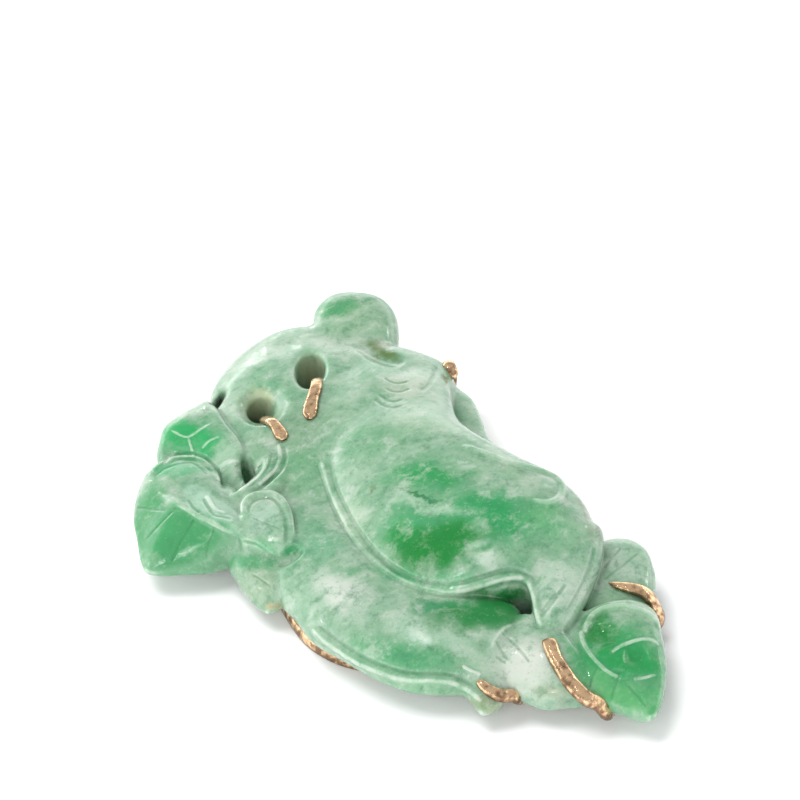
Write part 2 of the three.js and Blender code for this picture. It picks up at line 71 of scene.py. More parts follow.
# The jade is worked as a block of distances to its surface, on a grid of this spacing
GRID = 0.1
BAND = 10                                     # grid steps of true distance on each side of the surface
FAR = BAND * GRID
TRUSTED = 0.9 * FAR                           # strokes reach only where the distance is below this
BLOCK_LOW = np.floor(np.array((-19.6, -28.2, 0.2)) / GRID).astype(int)
BLOCK_HIGH = np.ceil(np.array((19.6, 28.2, 11.0)) / GRID).astype(int)
SPACING = openvdb.createLinearTransform(voxelSize=GRID)
NORMAL_STEP = 0.8 * GRID
EDGE_STEP = 2 * GRID
POLISH_WIDTH = 1.0                            # grid steps over which the last polish rounds the surface
POLISH_REACH = 2.5                            # how many of those widths it looks to each side
GRID_MARGIN = 0.001                           # keeps a point off the grid's last row
JADE_TRIANGLES = 190_000

JADE_BACK = 1.4                               # height of the jade's flat back over the table
LEAST_RISE = 0.05                             # least height of a form's crest over its edges
BELLY_SLOPE = 0.45                            # depth of a form's underside, of its width
BELLY_DROP = 0.6                              # how far an underside may reach below the flat back
BELLY_FULLNESS = 3
DISH_REACH = 0.7                              # width of a hollow face, of its form's
RELIEF_FADE_WIDTH = 4.0                       # a form narrower than this has a shallower hollow

# The front pod stands clear of the body below the first y and runs into it above the second, fully
# so left of the first x and not at all right of the second
POD_CLEAR_Y = 5.0
POD_MERGED_Y = 12.0
POD_MERGE_X = (5.5, 8.0)
POD_FILLET = 0.22
POD_MERGE_FILLET = 1.7                        # added to it where the pod runs into the body

# Fillets where the forms of the carving meet
BODY_FILLET = 0.5
KNOB_FILLET = 0.8
LEAF_FILLET = 0.25
STALK_FILLET = 0.3
HOLE_FILLET = 0.5
GAP_FILLET = 0.4
BACK_FILLET = 0.5
ROLL_FILLET = 0.25
TRENCH_FILLET = 1.2                           # of the trench's radius

# Steps from one given point of a route to the next
STALK_STEPS = 8
STROKE_STEPS = 6
SPINDLE_STEPS = 8
WIRE_STEPS = 6

# Strokes and raised lines run out at both ends
STROKE_REACH = 2.2                            # how far a stroke is felt, in half widths
SHORTEST_TAPER = 0.15
LONGEST_TAPER = 0.5
SPINDLE_TAPER = 2.5                           # length of a raised line's point, in radii
SPINDLE_TIP = 0.08                            # its least thickness, of the radius
SPINDLE_DROP = 0.6                            # how far it sinks as it thins, of what it loses


# Forms of the carving. Each is a row of ribs across it: left edge (x, y, z), right edge (x, y, z)
# and the height of the crest. swell and edge set how full it is, crest how far its ridge lies from
# the middle, and dish the depth of a hollow face.

SLAB = {"swell": 2.4, "edge": 2.2, "crest": 0.1, "ribs": [
    (6.3, 23.1, 4.4, 9.4, 22.8, 4.4, 5.6),
    (4.4, 25.1, 4.0, 10.0, 20.0, 3.8, 5.8),
    (1.6, 26.3, 3.8, 10.9, 18.1, 3.7, 6.0),
    (-2.3, 25.1, 3.4, 12.4, 16.6, 4.2, 6.5),
    (-5.6, 22.2, 3.2, 12.9, 14.9, 4.4, 7.0),
    (-7.3, 18.4, 3.2, 11.6, 12.1, 4.6, 7.3),
    (-8.9, 13.9, 3.0, 9.0, 7.8, 4.6, 7.0),
    (-10.0, 8.4, 3.0, 4.1, 2.2, 4.4, 5.8),
    (-10.3, 3.2, 3.0, 2.2, -2.0, 4.2, 5.2),
    (-8.6, -0.8, 3.0, -0.4, -3.8, 4.0, 4.6),
]}

STEM_KNOB = {"swell": 2.6, "edge": 2.6, "crest": 0.0, "ribs": [
    (3.2, 17.5, 5.0, 6.4, 16.5, 5.0, 6.0),
    (3.8, 21.4, 4.6, 8.9, 18.5, 4.6, 6.3),
    (4.4, 23.9, 4.6, 10.3, 19.9, 4.6, 6.9),
    (5.3, 26.0, 4.8, 11.4, 22.3, 4.8, 7.1),
    (6.7, 27.1, 4.8, 11.5, 24.4, 4.8, 6.8),
    (8.4, 27.2, 4.8, 10.6, 25.9, 4.8, 5.8),
]}

FRONT_POD = {"swell": 2.4, "edge": 1.8, "crest": 0.1, "ribs": [
    (7.2, 18.2, 4.6, 11.0, 16.4, 4.4, 5.3),
    (4.6, 17.2, 5.0, 12.0, 15.2, 5.0, 6.3),
    (2.1, 15.4, 5.4, 11.3, 12.1, 6.0, 7.5),
    (-0.2, 12.3, 5.4, 9.9, 7.5, 6.6, 8.3),
    (-1.8, 8.4, 5.2, 10.3, 3.7, 6.8, 9.1),
    (-3.0, 3.6, 5.0, 12.2, -0.7, 7.0, 9.4),
    (-3.4, -1.4, 4.9, 13.6, -3.0, 7.0, 9.4),
    (-2.5, -6.2, 4.8, 14.5, -5.9, 6.6, 9.2),
    (0.3, -9.8, 4.8, 14.5, -8.3, 6.0, 8.7),
    (4.3, -11.1, 4.8, 14.6, -9.4, 6.2, 8.1),
    (6.7, -11.8, 5.2, 14.1, -10.6, 6.0, 7.5),
    (6.6, -12.9, 5.3, 13.2, -11.9, 5.8, 7.1),
    (6.2, -14.1, 5.1, 11.7, -13.6, 5.4, 6.6),
    (6.0, -15.2, 4.9, 10.2, -15.0, 5.0, 6.1),
    (6.1, -16.0, 4.7, 8.7, -16.2, 4.8, 5.6),
    (6.6, -16.6, 4.5, 7.4, -16.8, 4.6, 4.8),
]}

BACK_VALVE = {"swell": 2.2, "edge": 2.2, "crest": 0.05, "ribs": [
    (8.5, 15.5, 4.4, 12.7, 15.4, 4.2, 4.7),
    (7.8, 14.1, 4.4, 12.8, 13.6, 4.3, 4.9),
    (7.6, 12.6, 4.4, 13.2, 11.6, 4.4, 5.0),
    (7.0, 10.3, 4.4, 12.8, 8.9, 4.4, 5.0),
    (6.8, 7.1, 4.6, 12.3, 6.3, 4.5, 5.1),
    (7.1, 3.9, 4.6, 12.8, 3.8, 4.8, 5.4),
    (7.3, 1.5, 4.8, 13.9, 1.4, 5.0, 5.8),
    (7.9, -1.8, 4.8, 14.9, -1.8, 5.2, 6.0),
    (8.9, -5.2, 4.6, 15.1, -5.2, 5.2, 6.0),
    (9.9, -8.7, 4.4, 14.8, -8.2, 4.9, 5.7),
    (9.7, -11.9, 4.2, 13.0, -11.4, 4.4, 5.0),
]}

LOWER_POD = {"swell": 2.4, "edge": 1.8, "crest": -0.12, "ribs": [
    (-9.4, 1.7, 3.4, -5.5, 6.3, 4.6, 4.9),
    (-10.2, -2.7, 3.0, -2.9, 5.1, 4.6, 5.3),
    (-9.9, -4.6, 2.8, -2.6, 1.0, 4.6, 5.6),
    (-9.6, -7.6, 2.7, -1.9, -3.0, 4.4, 5.8),
    (-8.3, -10.3, 2.6, -0.5, -6.0, 4.2, 5.6),
    (-6.8, -13.3, 2.5, 1.9, -8.1, 4.0, 5.4),
    (-5.0, -15.6, 2.4, 4.4, -10.3, 3.8, 5.2),
    (-3.0, -16.8, 2.4, 5.9, -12.3, 3.8, 4.9),
    (-1.5, -17.3, 2.2, 5.1, -14.8, 3.6, 4.4),
    (-1.1, -18.2, 2.0, 3.7, -16.8, 3.0, 3.6),
    (-1.0, -19.1, 1.8, 2.4, -18.5, 2.4, 2.8),
    (-0.9, -19.8, 1.6, 1.1, -19.6, 2.0, 2.2),
    (-0.3, -20.0, 1.6, 0.2, -19.9, 1.6, 1.8),
]}

LARGE_LEAF = {"swell": 1.3, "edge": 1.4, "crest": 0.05, "ribs": [
    (-14.1, 14.7, 3.6, -14.5, 14.5, 3.6, 3.8),
    (-13.3, 15.0, 3.8, -15.6, 13.7, 3.2, 4.4),
    (-11.6, 15.3, 4.2, -16.9, 11.5, 2.8, 5.0),
    (-10.4, 13.9, 4.6, -17.6, 9.0, 2.5, 5.4),
    (-9.8, 11.7, 4.9, -18.2, 6.8, 2.3, 5.6),
    (-9.8, 10.7, 5.0, -18.1, 5.4, 2.3, 5.6),
    (-9.9, 9.2, 5.0, -16.1, 4.5, 2.3, 5.6),
    (-10.0, 6.2, 5.0, -13.9, 3.8, 2.3, 5.4),
    (-9.8, 3.8, 4.8, -12.2, 3.6, 2.6, 5.2),
    (-9.7, 2.1, 4.4, -10.5, 2.4, 3.2, 4.6),
]}

UPPER_LEAF = {"swell": 2.2, "edge": 1.9, "crest": 0.15, "ribs": [
    (-12.9, 16.1, 3.6, -12.6, 17.0, 3.6, 3.8),
    (-12.9, 14.7, 3.4, -11.0, 19.3, 3.7, 4.7),
    (-11.7, 13.9, 3.4, -9.4, 20.0, 3.8, 5.2),
    (-10.6, 12.6, 3.6, -7.8, 20.5, 3.8, 5.4),
    (-9.8, 11.1, 3.8, -6.3, 20.7, 3.8, 5.6),
    (-8.8, 10.2, 4.2, -6.5, 16.8, 4.6, 5.8),
    (-7.8, 10.3, 4.6, -6.5, 14.4, 5.0, 5.8),
    (-7.1, 10.8, 5.0, -6.7, 12.0, 5.0, 5.4),
]}

CURLED_LEAF = {"swell": 4.0, "edge": 2.6, "crest": 0.0, "dish": 0.15, "ribs": [
    (-7.9, 7.3, 5.3, -7.2, 7.0, 5.3, 5.6),
    (-9.0, 7.3, 5.2, -6.3, 6.0, 5.3, 6.0),
    (-9.9, 6.0, 5.1, -6.2, 4.6, 5.2, 6.1),
    (-10.8, 4.2, 4.8, -6.6, 2.8, 4.9, 5.9),
    (-11.1, 2.7, 4.5, -7.4, 1.4, 4.6, 5.5),
    (-10.0, 1.5, 4.2, -8.3, 0.6, 4.3, 5.0),
    (-9.2, 0.4, 4.1, -8.8, 0.3, 4.1, 4.3),
]}

UNDER_LEAF = {"swell": 2.2, "edge": 2.0, "crest": 0.05, "ribs": [
    (-11.1, 4.3, 3.2, -7.6, 2.3, 3.8, 4.8),
    (-12.1, 3.3, 2.4, -7.9, 0.7, 3.6, 4.4),
    (-12.1, 1.8, 2.2, -8.6, -0.8, 3.2, 4.0),
    (-12.0, 0.0, 2.0, -9.4, -1.9, 2.9, 3.6),
    (-11.7, -1.4, 1.9, -9.9, -2.6, 2.6, 3.0),
    (-11.3, -2.4, 1.8, -10.7, -2.6, 2.0, 2.2),
]}

END_LEAF = {"swell": 2.6, "edge": 2.0, "crest": 0.05, "dish": 0.2, "ribs": [
    (7.8, -15.7, 4.0, 8.7, -15.3, 4.2, 4.5),
    (7.1, -16.6, 3.4, 10.5, -15.2, 4.0, 4.7),
    (6.9, -18.3, 3.0, 12.8, -14.9, 3.8, 4.9),
    (6.7, -20.4, 2.8, 14.8, -15.3, 3.6, 4.9),
    (7.0, -22.3, 2.6, 15.6, -17.0, 3.4, 4.8),
    (7.9, -23.7, 2.5, 14.9, -19.5, 3.2, 4.5),
    (8.9, -24.8, 2.5, 13.9, -22.2, 3.0, 4.0),
    (9.8, -25.7, 2.4, 12.4, -24.6, 2.8, 3.4),
    (10.3, -26.2, 2.4, 11.0, -26.1, 2.4, 2.6),
]}

SIDE_LEAF = {"swell": 2.4, "edge": 2.0, "crest": 0.05, "ribs": [
    (10.5, -12.9, 3.6, 12.3, -10.7, 3.8, 4.4),
    (10.9, -15.1, 3.0, 14.7, -8.3, 3.8, 4.6),
    (12.5, -16.0, 2.8, 16.3, -8.0, 3.7, 4.6),
    (14.2, -16.1, 2.8, 17.7, -8.6, 3.5, 4.4),
    (16.0, -15.2, 2.8, 18.3, -10.0, 3.3, 4.0),
    (17.3, -13.6, 2.9, 17.9, -12.2, 3.1, 3.4),
]}

PALE_LEAF = {"swell": 2.4, "edge": 2.0, "crest": 0.0, "ribs": [
    (5.1, -13.4, 4.2, 6.0, -13.8, 4.4, 4.7),
    (4.0, -13.5, 3.8, 7.1, -15.0, 4.4, 4.8),
    (2.5, -14.5, 3.4, 7.8, -16.9, 4.2, 4.8),
    (0.9, -15.9, 3.0, 7.9, -19.1, 4.0, 4.6),
    (1.5, -17.7, 2.6, 7.9, -20.8, 3.4, 4.2),
    (2.5, -19.8, 2.3, 7.5, -22.0, 3.0, 3.7),
    (3.8, -21.3, 2.2, 6.6, -22.2, 2.4, 3.0),
    (5.1, -21.7, 2.2, 5.6, -21.7, 2.2, 2.4),
]}

# Round stalks that lie on the carving: x, y, z of the middle and the radius
STALKS = [
    [(-10.7, 7.1, 4.3, 0.5), (-9.4, 7.6, 5.0, 0.6), (-7.5, 8.3, 5.2, 0.7), (-5.9, 9.6, 5.3, 0.7),
     (-5.0, 12.0, 5.2, 0.5)],
    [(-9.2, 5.6, 5.2, 0.5), (-7.6, 6.7, 5.2, 0.65), (-5.6, 7.9, 5.2, 0.65), (-4.4, 9.9, 5.2, 0.5)],
    [(-11.9, 8.7, 5.1, 0.3), (-12.3, 7.0, 5.2, 0.45), (-12.1, 5.7, 5.3, 0.5), (-11.4, 5.0, 5.3, 0.5),
     (-10.7, 3.6, 5.2, 0.4)],
    [(-9.5, 10.6, 3.8, 0.5), (-9.7, 8.8, 4.1, 1.1), (-9.8, 6.8, 4.2, 1.2), (-9.6, 5.4, 4.0, 0.7)],
]

# Holes: middle and radii at the top and at the back, turn in degrees, how deep they go and,
# where it isn't HOLE_FILLET, the fillet round them
HOLE_TOP = 6.5                                # height that the values at the top are for
HOLE_CEILING = 12.0                           # above all the jade
HOLES = [
    {"top": (-3.6, 16.3), "top_radii": (1.25, 1.8), "back": (-3.3, 17.9), "back_radii": (0.6, 0.8),
     "turn": -15, "floor": 0.0, "fillet": 2.2},
    {"top": (1.6, 18.3), "top_radii": (1.2, 2.4), "back": (2.8, 19.2), "back_radii": (0.7, 1.0),
     "turn": -25, "floor": 0.0, "fillet": 0.6},
    {"top": (-5.9, 20.2), "top_radii": (0.45, 1.1), "back": (-5.7, 20.1), "back_radii": (0.45, 1.1),
     "turn": -45, "floor": 0.0},
    {"top": (-7.2, 10.7), "top_radii": (0.6, 1.7), "back": (-7.3, 10.2), "back_radii": (0.3, 0.6),
     "turn": -12, "floor": 2.2},
]
POD_GAP = {"top": (6.3, -12.0), "top_radii": (0.9, 1.3), "back": (7.0, -10.6),
           "back_radii": (0.9, 1.5), "turn": -10, "floor": 0.0}


# Shapes

def smooth_rows(rows, steps, endless=False):
    """Smooth curve through rows of values, with steps from one row to the next."""
    rows = np.array(rows, float)
    if endless:
        padded = np.vstack((rows[-1:], rows, rows[:2]))
    else:
        padded = np.vstack((2 * rows[:1] - rows[1:2], rows, 2 * rows[-1:] - rows[-2:-1]))
    result = []
    t = (np.arange(steps) / steps)[:, None]
    for p0, p1, p2, p3 in zip(padded, padded[1:], padded[2:], padded[3:]):
        result.append(0.5 * (2 * p1 + (p2 - p0) * t + (2 * p0 - 5 * p1 + 4 * p2 - p3) * t ** 2
                             + (3 * p1 - p0 - 3 * p2 + p3) * t ** 3))
    if not endless:
        result.append(rows[-1:])
    return np.vstack(result)


def skin(rings, endless=False):
    """Closed mesh from rings of points: the points, the quads along it and a fan over each end."""
    count, around = rings.shape[:2]
    points = rings.reshape(-1, 3)
    row = np.arange(count if endless else count - 1)[:, None] * around
    ahead = (row + around) % (count * around)
    here = np.arange(around)[None, :]
    beside = (here + 1) % around
    quads = np.stack((row + here, row + beside, ahead + beside, ahead + here), -1).reshape(-1, 4)
    triangles = np.zeros((0, 3), int)
    if not endless:
        last = (count - 1) * around
        first_fan = np.stack((np.full(around, len(points)), beside[0], here[0]), -1)
        last_fan = np.stack((np.full(around, len(points) + 1), last + here[0], last + beside[0]), -1)
        points = np.vstack((points, rings[0].mean(0), rings[-1].mean(0)))
        triangles = np.vstack((first_fan, last_fan))
    return points, quads, triangles


def form_mesh(form, steps=8, across=96, behind=24):
    """One form of the carving as a closed mesh: its carved face and its belly."""
    rows = smooth_rows(form["ribs"], steps)
    left, right, top = rows[:, None, 0:3], rows[:, None, 3:6], rows[:, None, 6]
    width = np.linalg.norm(right - left, axis=2)
    fade = np.minimum(1, width / RELIEF_FADE_WIDTH)
    crest = form["crest"]
    s = -np.cos(np.linspace(0, np.pi, across + 1))
    u = crest + s * np.where(s < 0, 1 + crest, 1 - crest)
    out = np.abs(s)
    crest_line = left[..., 2] + (right[..., 2] - left[..., 2]) * (crest + 1) / 2
    rise = np.maximum(top - crest_line, LEAST_RISE)
    face = left + (right - left) * ((u + 1) / 2)[None, :, None]
    height = rise * np.maximum(0, 1 - out ** form["swell"]) ** (1 / form["edge"])
    height = height - form.get("dish", 0) * fade * np.maximum(0, 1 - (out / DISH_REACH) ** 2)
    face[..., 2] += height
    u = np.cos(np.linspace(0, np.pi, behind + 2))[1:-1]
    belly = left + (right - left) * ((u + 1) / 2)[None, :, None]
    depth = np.maximum(JADE_BACK - BELLY_DROP, belly[..., 2] - BELLY_SLOPE * width)
    belly[..., 2] -= (belly[..., 2] - depth) * np.sqrt(1 - np.abs(u) ** BELLY_FULLNESS)
    return skin(np.concatenate((face, belly), axis=1))


def tube_rings(path, section):
    """Rings of a tube along a path: section(i) gives offsets across and up at station i."""
    along = np.gradient(path, axis=0)
    along /= np.linalg.norm(along, axis=1, keepdims=True)
    rings = []
    side = np.cross((0, 0, 1), along[0])
    for i, point in enumerate(path):
        side = side - along[i] * side.dot(along[i])
        side /= np.linalg.norm(side)
        up = np.cross(along[i], side)
        offsets = section(i)
        rings.append(point + offsets[:, :1] * side + offsets[:, 1:] * up)
    return np.array(rings)


def circle(radius, sides=20):
    """Section of a round bar."""
    angle = np.arange(sides) / sides * 2 * np.pi
    return np.stack((np.cos(angle), np.sin(angle)), -1) * radius


def stalk_mesh(route):
    """One round stalk that lies on the carving."""
    rows = smooth_rows(route, STALK_STEPS)
    return skin(tube_rings(rows[:, :3], lambda i: circle(rows[i, 3])))


def hole_mesh(hole, sides=48, levels=12):
    """The slanting plug that a hole takes out of the jade."""
    turn = math.radians(hole["turn"])
    angle = np.arange(sides) / sides * 2 * np.pi
    rings = []
    for height in np.linspace(hole["floor"], HOLE_CEILING, levels):
        t = (height - JADE_BACK) / (HOLE_TOP - JADE_BACK)
        middle = np.array(hole["back"]) * (1 - t) + np.array(hole["top"]) * t
        radii = np.array(hole["back_radii"]) * (1 - t) + np.array(hole["top_radii"]) * t
        x = np.cos(angle) * radii[0]
        y = np.sin(angle) * radii[1]
        rings.append(np.stack((
            middle[0] + x * math.cos(turn) - y * math.sin(turn),
            middle[1] + x * math.sin(turn) + y * math.cos(turn),
            np.full(sides, height)), -1))
    return skin(np.array(rings))


# Working the block

def distances(mesh):
    """Distances to a closed mesh near it, negative inside, and where they start in the block."""
    points, quads, triangles = mesh
    grid = openvdb.FloatGrid.createLevelSetFromPolygons(
        (points - SHEET_MIDDLE).astype(np.float32), triangles=triangles.astype(np.uint32),
        quads=quads.astype(np.uint32), transform=SPACING, halfWidth=float(BAND))
    low, high = (np.array(corner) for corner in grid.evalActiveVoxelBoundingBox())
    low = np.maximum(low, BLOCK_LOW)
    high = np.minimum(high, BLOCK_HIGH)
    part = np.empty(high - low + 1, np.float32)
    grid.copyToArray(part, ijk=tuple(int(i) for i in low))
    return part, tuple(slice(a, b) for a, b in zip(low - BLOCK_LOW, high - BLOCK_LOW + 1))


def soft_least(a, b, radius):
    """The lesser of two distances, with a fillet of about this radius where they meet.
    The fillet fades out as the distances near FAR, past which they aren't known."""
    least = np.minimum(a, b)
    near = np.maximum(radius - np.abs(a - b), 0) / radius
    known = np.clip(1 - (np.maximum(np.abs(a), np.abs(b)) / FAR) ** 2, 0, 1)
    return least - near ** 2 * (radius / 4) * known


def add(block, mesh, radius):
    """Joins a closed mesh to the block."""
    part, place = distances(mesh)
    block[place] = soft_least(block[place], part, radius)


def add_front_pod(block):
    """The front pod stands clear of the body low down and runs smoothly into it at the stem end."""
    part, place = distances(form_mesh(FRONT_POD))
    y = (np.arange(block.shape[1])[place[1]] + BLOCK_LOW[1]) * GRID
    x = (np.arange(block.shape[0])[place[0]] + BLOCK_LOW[0]) * GRID
    upward = np.interp(y, (POD_CLEAR_Y, POD_MERGED_Y), (0, 1))
    leftward = np.interp(x, POD_MERGE_X, (1, 0))
    grown = upward[None, :] * leftward[:, None]
    merge = (POD_FILLET + POD_MERGE_FILLET * grown).astype(np.float32)
    block[place] = soft_least(block[place], part, merge[:, :, None])


def cut(block, mesh, radius):
    """Takes a closed mesh out of the block."""
    part, place = distances(mesh)
    block[place] = -soft_least(-block[place], part, radius)


def soften(block, width):
    """Evens out the surface over about this many grid steps."""
    reach = int(math.ceil(POLISH_REACH * width))
    weights = np.exp(-0.5 * (np.arange(-reach, reach + 1) / width) ** 2)
    weights /= weights.sum()
    for axis in range(3):
        total = np.zeros_like(block)
        margins = [(reach, reach) if k == axis else (0, 0) for k in range(3)]
        padded = np.pad(block, margins, mode="edge")
        for k, weight in enumerate(weights):
            place = [slice(None)] * 3
            place[axis] = slice(k, k + block.shape[axis])
            total += np.float32(weight) * padded[tuple(place)]
        block = total
    return block


def sample(block, points):
    """Distance at each point, interpolated in the block."""
    place = points / GRID - BLOCK_LOW
    place = np.clip(place, 0, np.array(block.shape) - 1 - GRID_MARGIN)
    base = np.floor(place).astype(int)
    part = place - base
    total = np.zeros(len(points))
    for corner in np.ndindex(2, 2, 2):
        weight = np.prod(np.where(corner, part, 1 - part), axis=1)
        i, j, k = (base + corner).T
        total += weight * block[i, j, k]
    return total


def seen(block, pixels):
    """The places on the jade that show at these pixels of the photograph."""
    pixels = np.atleast_2d(np.array(pixels, float))
    across = (pixels[:, 0] - PHOTO_SIZE / 2) * MM_PER_PIXEL
    down = (pixels[:, 1] - PHOTO_SIZE / 2) * MM_PER_PIXEL
    rays = -VIEW_BACK * VIEW_DISTANCE + across[:, None] * VIEW_RIGHT - down[:, None] * VIEW_UP
    rays /= np.linalg.norm(rays, axis=1, keepdims=True)
    start = (SIGHT_TOP - VIEW_POINT[2]) / rays[:, 2]
    places = VIEW_POINT + rays * start[:, None]
    moving = np.ones(len(places), bool)
    for _ in range(SIGHT_STRIDES):
        gap = sample(block, places)
        moving &= (gap > SIGHT_TOUCH) & (places[:, 2] > SIGHT_FLOOR)
        if not moving.any():
            break
        stride = np.clip(gap[moving] * STRIDE_SHARE, SIGHT_TOUCH, LONGEST_STRIDE)
        places[moving] += rays[moving] * stride[:, None]
    return places


def along_stroke(block, route, reach):
    """Grid points near the surface and near a route, their distance from it and how far along."""
    low = np.floor((route.min(0) - reach) / GRID).astype(int) - BLOCK_LOW
    high = np.ceil((route.max(0) + reach) / GRID).astype(int) - BLOCK_LOW + 1
    low = np.clip(low, 0, block.shape)
    high = np.clip(high, 0, block.shape)
    part = block[tuple(slice(a, b) for a, b in zip(low, high))]
    near = np.argwhere(np.abs(part) < TRUSTED) + low
    points = (near + BLOCK_LOW) * GRID
    best = np.full(len(points), np.inf)
    travel = np.zeros(len(points))
    for i in range(len(route) - 1):
        run = route[i + 1] - route[i]
        t = np.clip((points - route[i]) @ run / max(run @ run, 1e-9), 0, 1)
        gap = np.linalg.norm(points - route[i] - t[:, None] * run, axis=1)
        closer = gap < best
        best[closer] = gap[closer]
        travel[closer] = (i + t[closer]) / (len(route) - 1)
    keep = best < reach
    return tuple(near[keep].T), best[keep], travel[keep]


def stroke(block, width, depth, pixels, taper=SHORTEST_TAPER):
    """A polished groove along a line of the photograph, or a ridge where depth is negative."""
    taper = max(taper, min(LONGEST_TAPER, width))
    route = smooth_rows(seen(block, pixels), STROKE_STEPS)
    place, gap, travel = along_stroke(block, route, width * STROKE_REACH)
    ends = np.clip(np.minimum(travel, 1 - travel) / taper, 0, 1)
    ends *= 2 - ends
    block[place] += (depth * ends * np.exp(-(gap / width) ** 2)).astype(np.float32)


def spindle(block, radius, sink, pixels):
    """A round bar along a line of the photograph, running out to a point at both ends."""
    route = smooth_rows(seen(block, pixels), SPINDLE_STEPS) + SHEET_MIDDLE
    reach = np.concatenate(((0,), np.cumsum(np.linalg.norm(np.diff(route, axis=0), axis=1))))
    ends = np.clip(np.minimum(reach, reach[-1] - reach) / (SPINDLE_TAPER * radius), 0, 1)
    thick = radius * np.maximum(np.sqrt(ends * (2 - ends)), SPINDLE_TIP)
    route[:, 2] -= sink + (radius - thick) * SPINDLE_DROP
    return skin(tube_rings(route, lambda i: circle(thick[i])))


def carve_jade():
    """The whole carving but its raised lines and strokes, as a block of distances."""
    block = np.full(BLOCK_HIGH - BLOCK_LOW + 1, FAR, np.float32)
    for form in (SLAB, BACK_VALVE):
        add(block, form_mesh(form), BODY_FILLET)
    for form in (LOWER_POD, SIDE_LEAF, UNDER_LEAF, PALE_LEAF, END_LEAF, LARGE_LEAF, UPPER_LEAF):
        add(block, form_mesh(form), LEAF_FILLET)
    cut(block, hole_mesh(POD_GAP), GAP_FILLET)
    add(block, form_mesh(STEM_KNOB), KNOB_FILLET)
    add_front_pod(block)
    add(block, form_mesh(CURLED_LEAF), LEAF_FILLET)
    for route in STALKS:
        add(block, stalk_mesh(route), STALK_FILLET)
    for hole in HOLES:
        cut(block, hole_mesh(hole), hole.get("fillet", HOLE_FILLET))
    # The back is ground flat
    heights = (np.arange(block.shape[2]) + BLOCK_LOW[2]) * GRID
    ground = JADE_BACK - heights.astype(np.float32)
    block = -soft_least(-block, -ground[None, None, :], BACK_FILLET)
    return soften(block, POLISH_WIDTH)


def object_from(name, points, faces):
    """A smooth-shaded object from points in millimetres and faces with as many corners each."""
    mesh = bpy.data.meshes.new(name)
    mesh.from_pydata([], [], [])
    mesh.vertices.add(len(points))
    mesh.vertices.foreach_set("co", np.asarray(points * MM, np.float32).ravel())
    sides = faces.shape[1]
    mesh.loops.add(faces.size)
    mesh.loops.foreach_set("vertex_index", faces.astype(np.int32).ravel())
    mesh.polygons.add(len(faces))
    mesh.polygons.foreach_set("loop_start", np.arange(len(faces), dtype=np.int32) * sides)
    mesh.update(calc_edges=True)
    mesh.polygons.foreach_set("use_smooth", np.ones(len(faces), bool))
    piece = bpy.data.objects.new(name, mesh)
    bpy.context.scene.collection.objects.link(piece)
    return piece


def surface_normals(block, points):
    """Directions square to the carved surface, from the block's distances."""
    slopes = []
    for axis in np.eye(3) * NORMAL_STEP:
        slopes.append(sample(block, points + axis) - sample(block, points - axis))
    normals = np.stack(slopes, -1)
    return normals / np.maximum(np.linalg.norm(normals, axis=1, keepdims=True), 1e-9)


def edge_sharpness(block, points):
    """How sharply the surface turns, per millimetre: above zero on an edge, below zero in a groove."""
    total = -6 * sample(block, points)
    for axis in np.eye(3) * EDGE_STEP:
        total += sample(block, points + axis) + sample(block, points - axis)
    return total / EDGE_STEP ** 2


def jade_piece(block):
    """The carved block's surface as a mesh, with fewer triangles where it is plain."""
    grid = openvdb.FloatGrid(FAR)
    grid.transform = SPACING
    grid.copyFromArray(block, ijk=tuple(int(i) for i in BLOCK_LOW))
    points, quads = grid.convertToQuads()
    if len(quads) == 0:
        raise ValueError("the block has no surface")
    piece = object_from("jade_pod_carving", points.astype(float), quads)
    thin = piece.modifiers.new("fewer triangles", "DECIMATE")
    thin.ratio = min(1.0, JADE_TRIANGLES / (2 * len(quads)))
    depsgraph = bpy.context.evaluated_depsgraph_get()
    mesh = bpy.data.meshes.new_from_object(piece.evaluated_get(depsgraph))
    piece.modifiers.clear()
    piece.data = mesh
    places = np.empty(len(mesh.vertices) * 3, np.float32)
    mesh.vertices.foreach_get("co", places)
    places = places.reshape(-1, 3).astype(float) / MM
    mesh.polygons.foreach_set("use_smooth", np.ones(len(mesh.polygons), bool))
    mesh.normals_split_custom_set_from_vertices(surface_normals(block, places).tolist())
    sharpness = mesh.attributes.new("edge_sharpness", "FLOAT", "POINT")
    sharpness.data.foreach_set("value", edge_sharpness(block, places).astype(np.float32))
    return piece


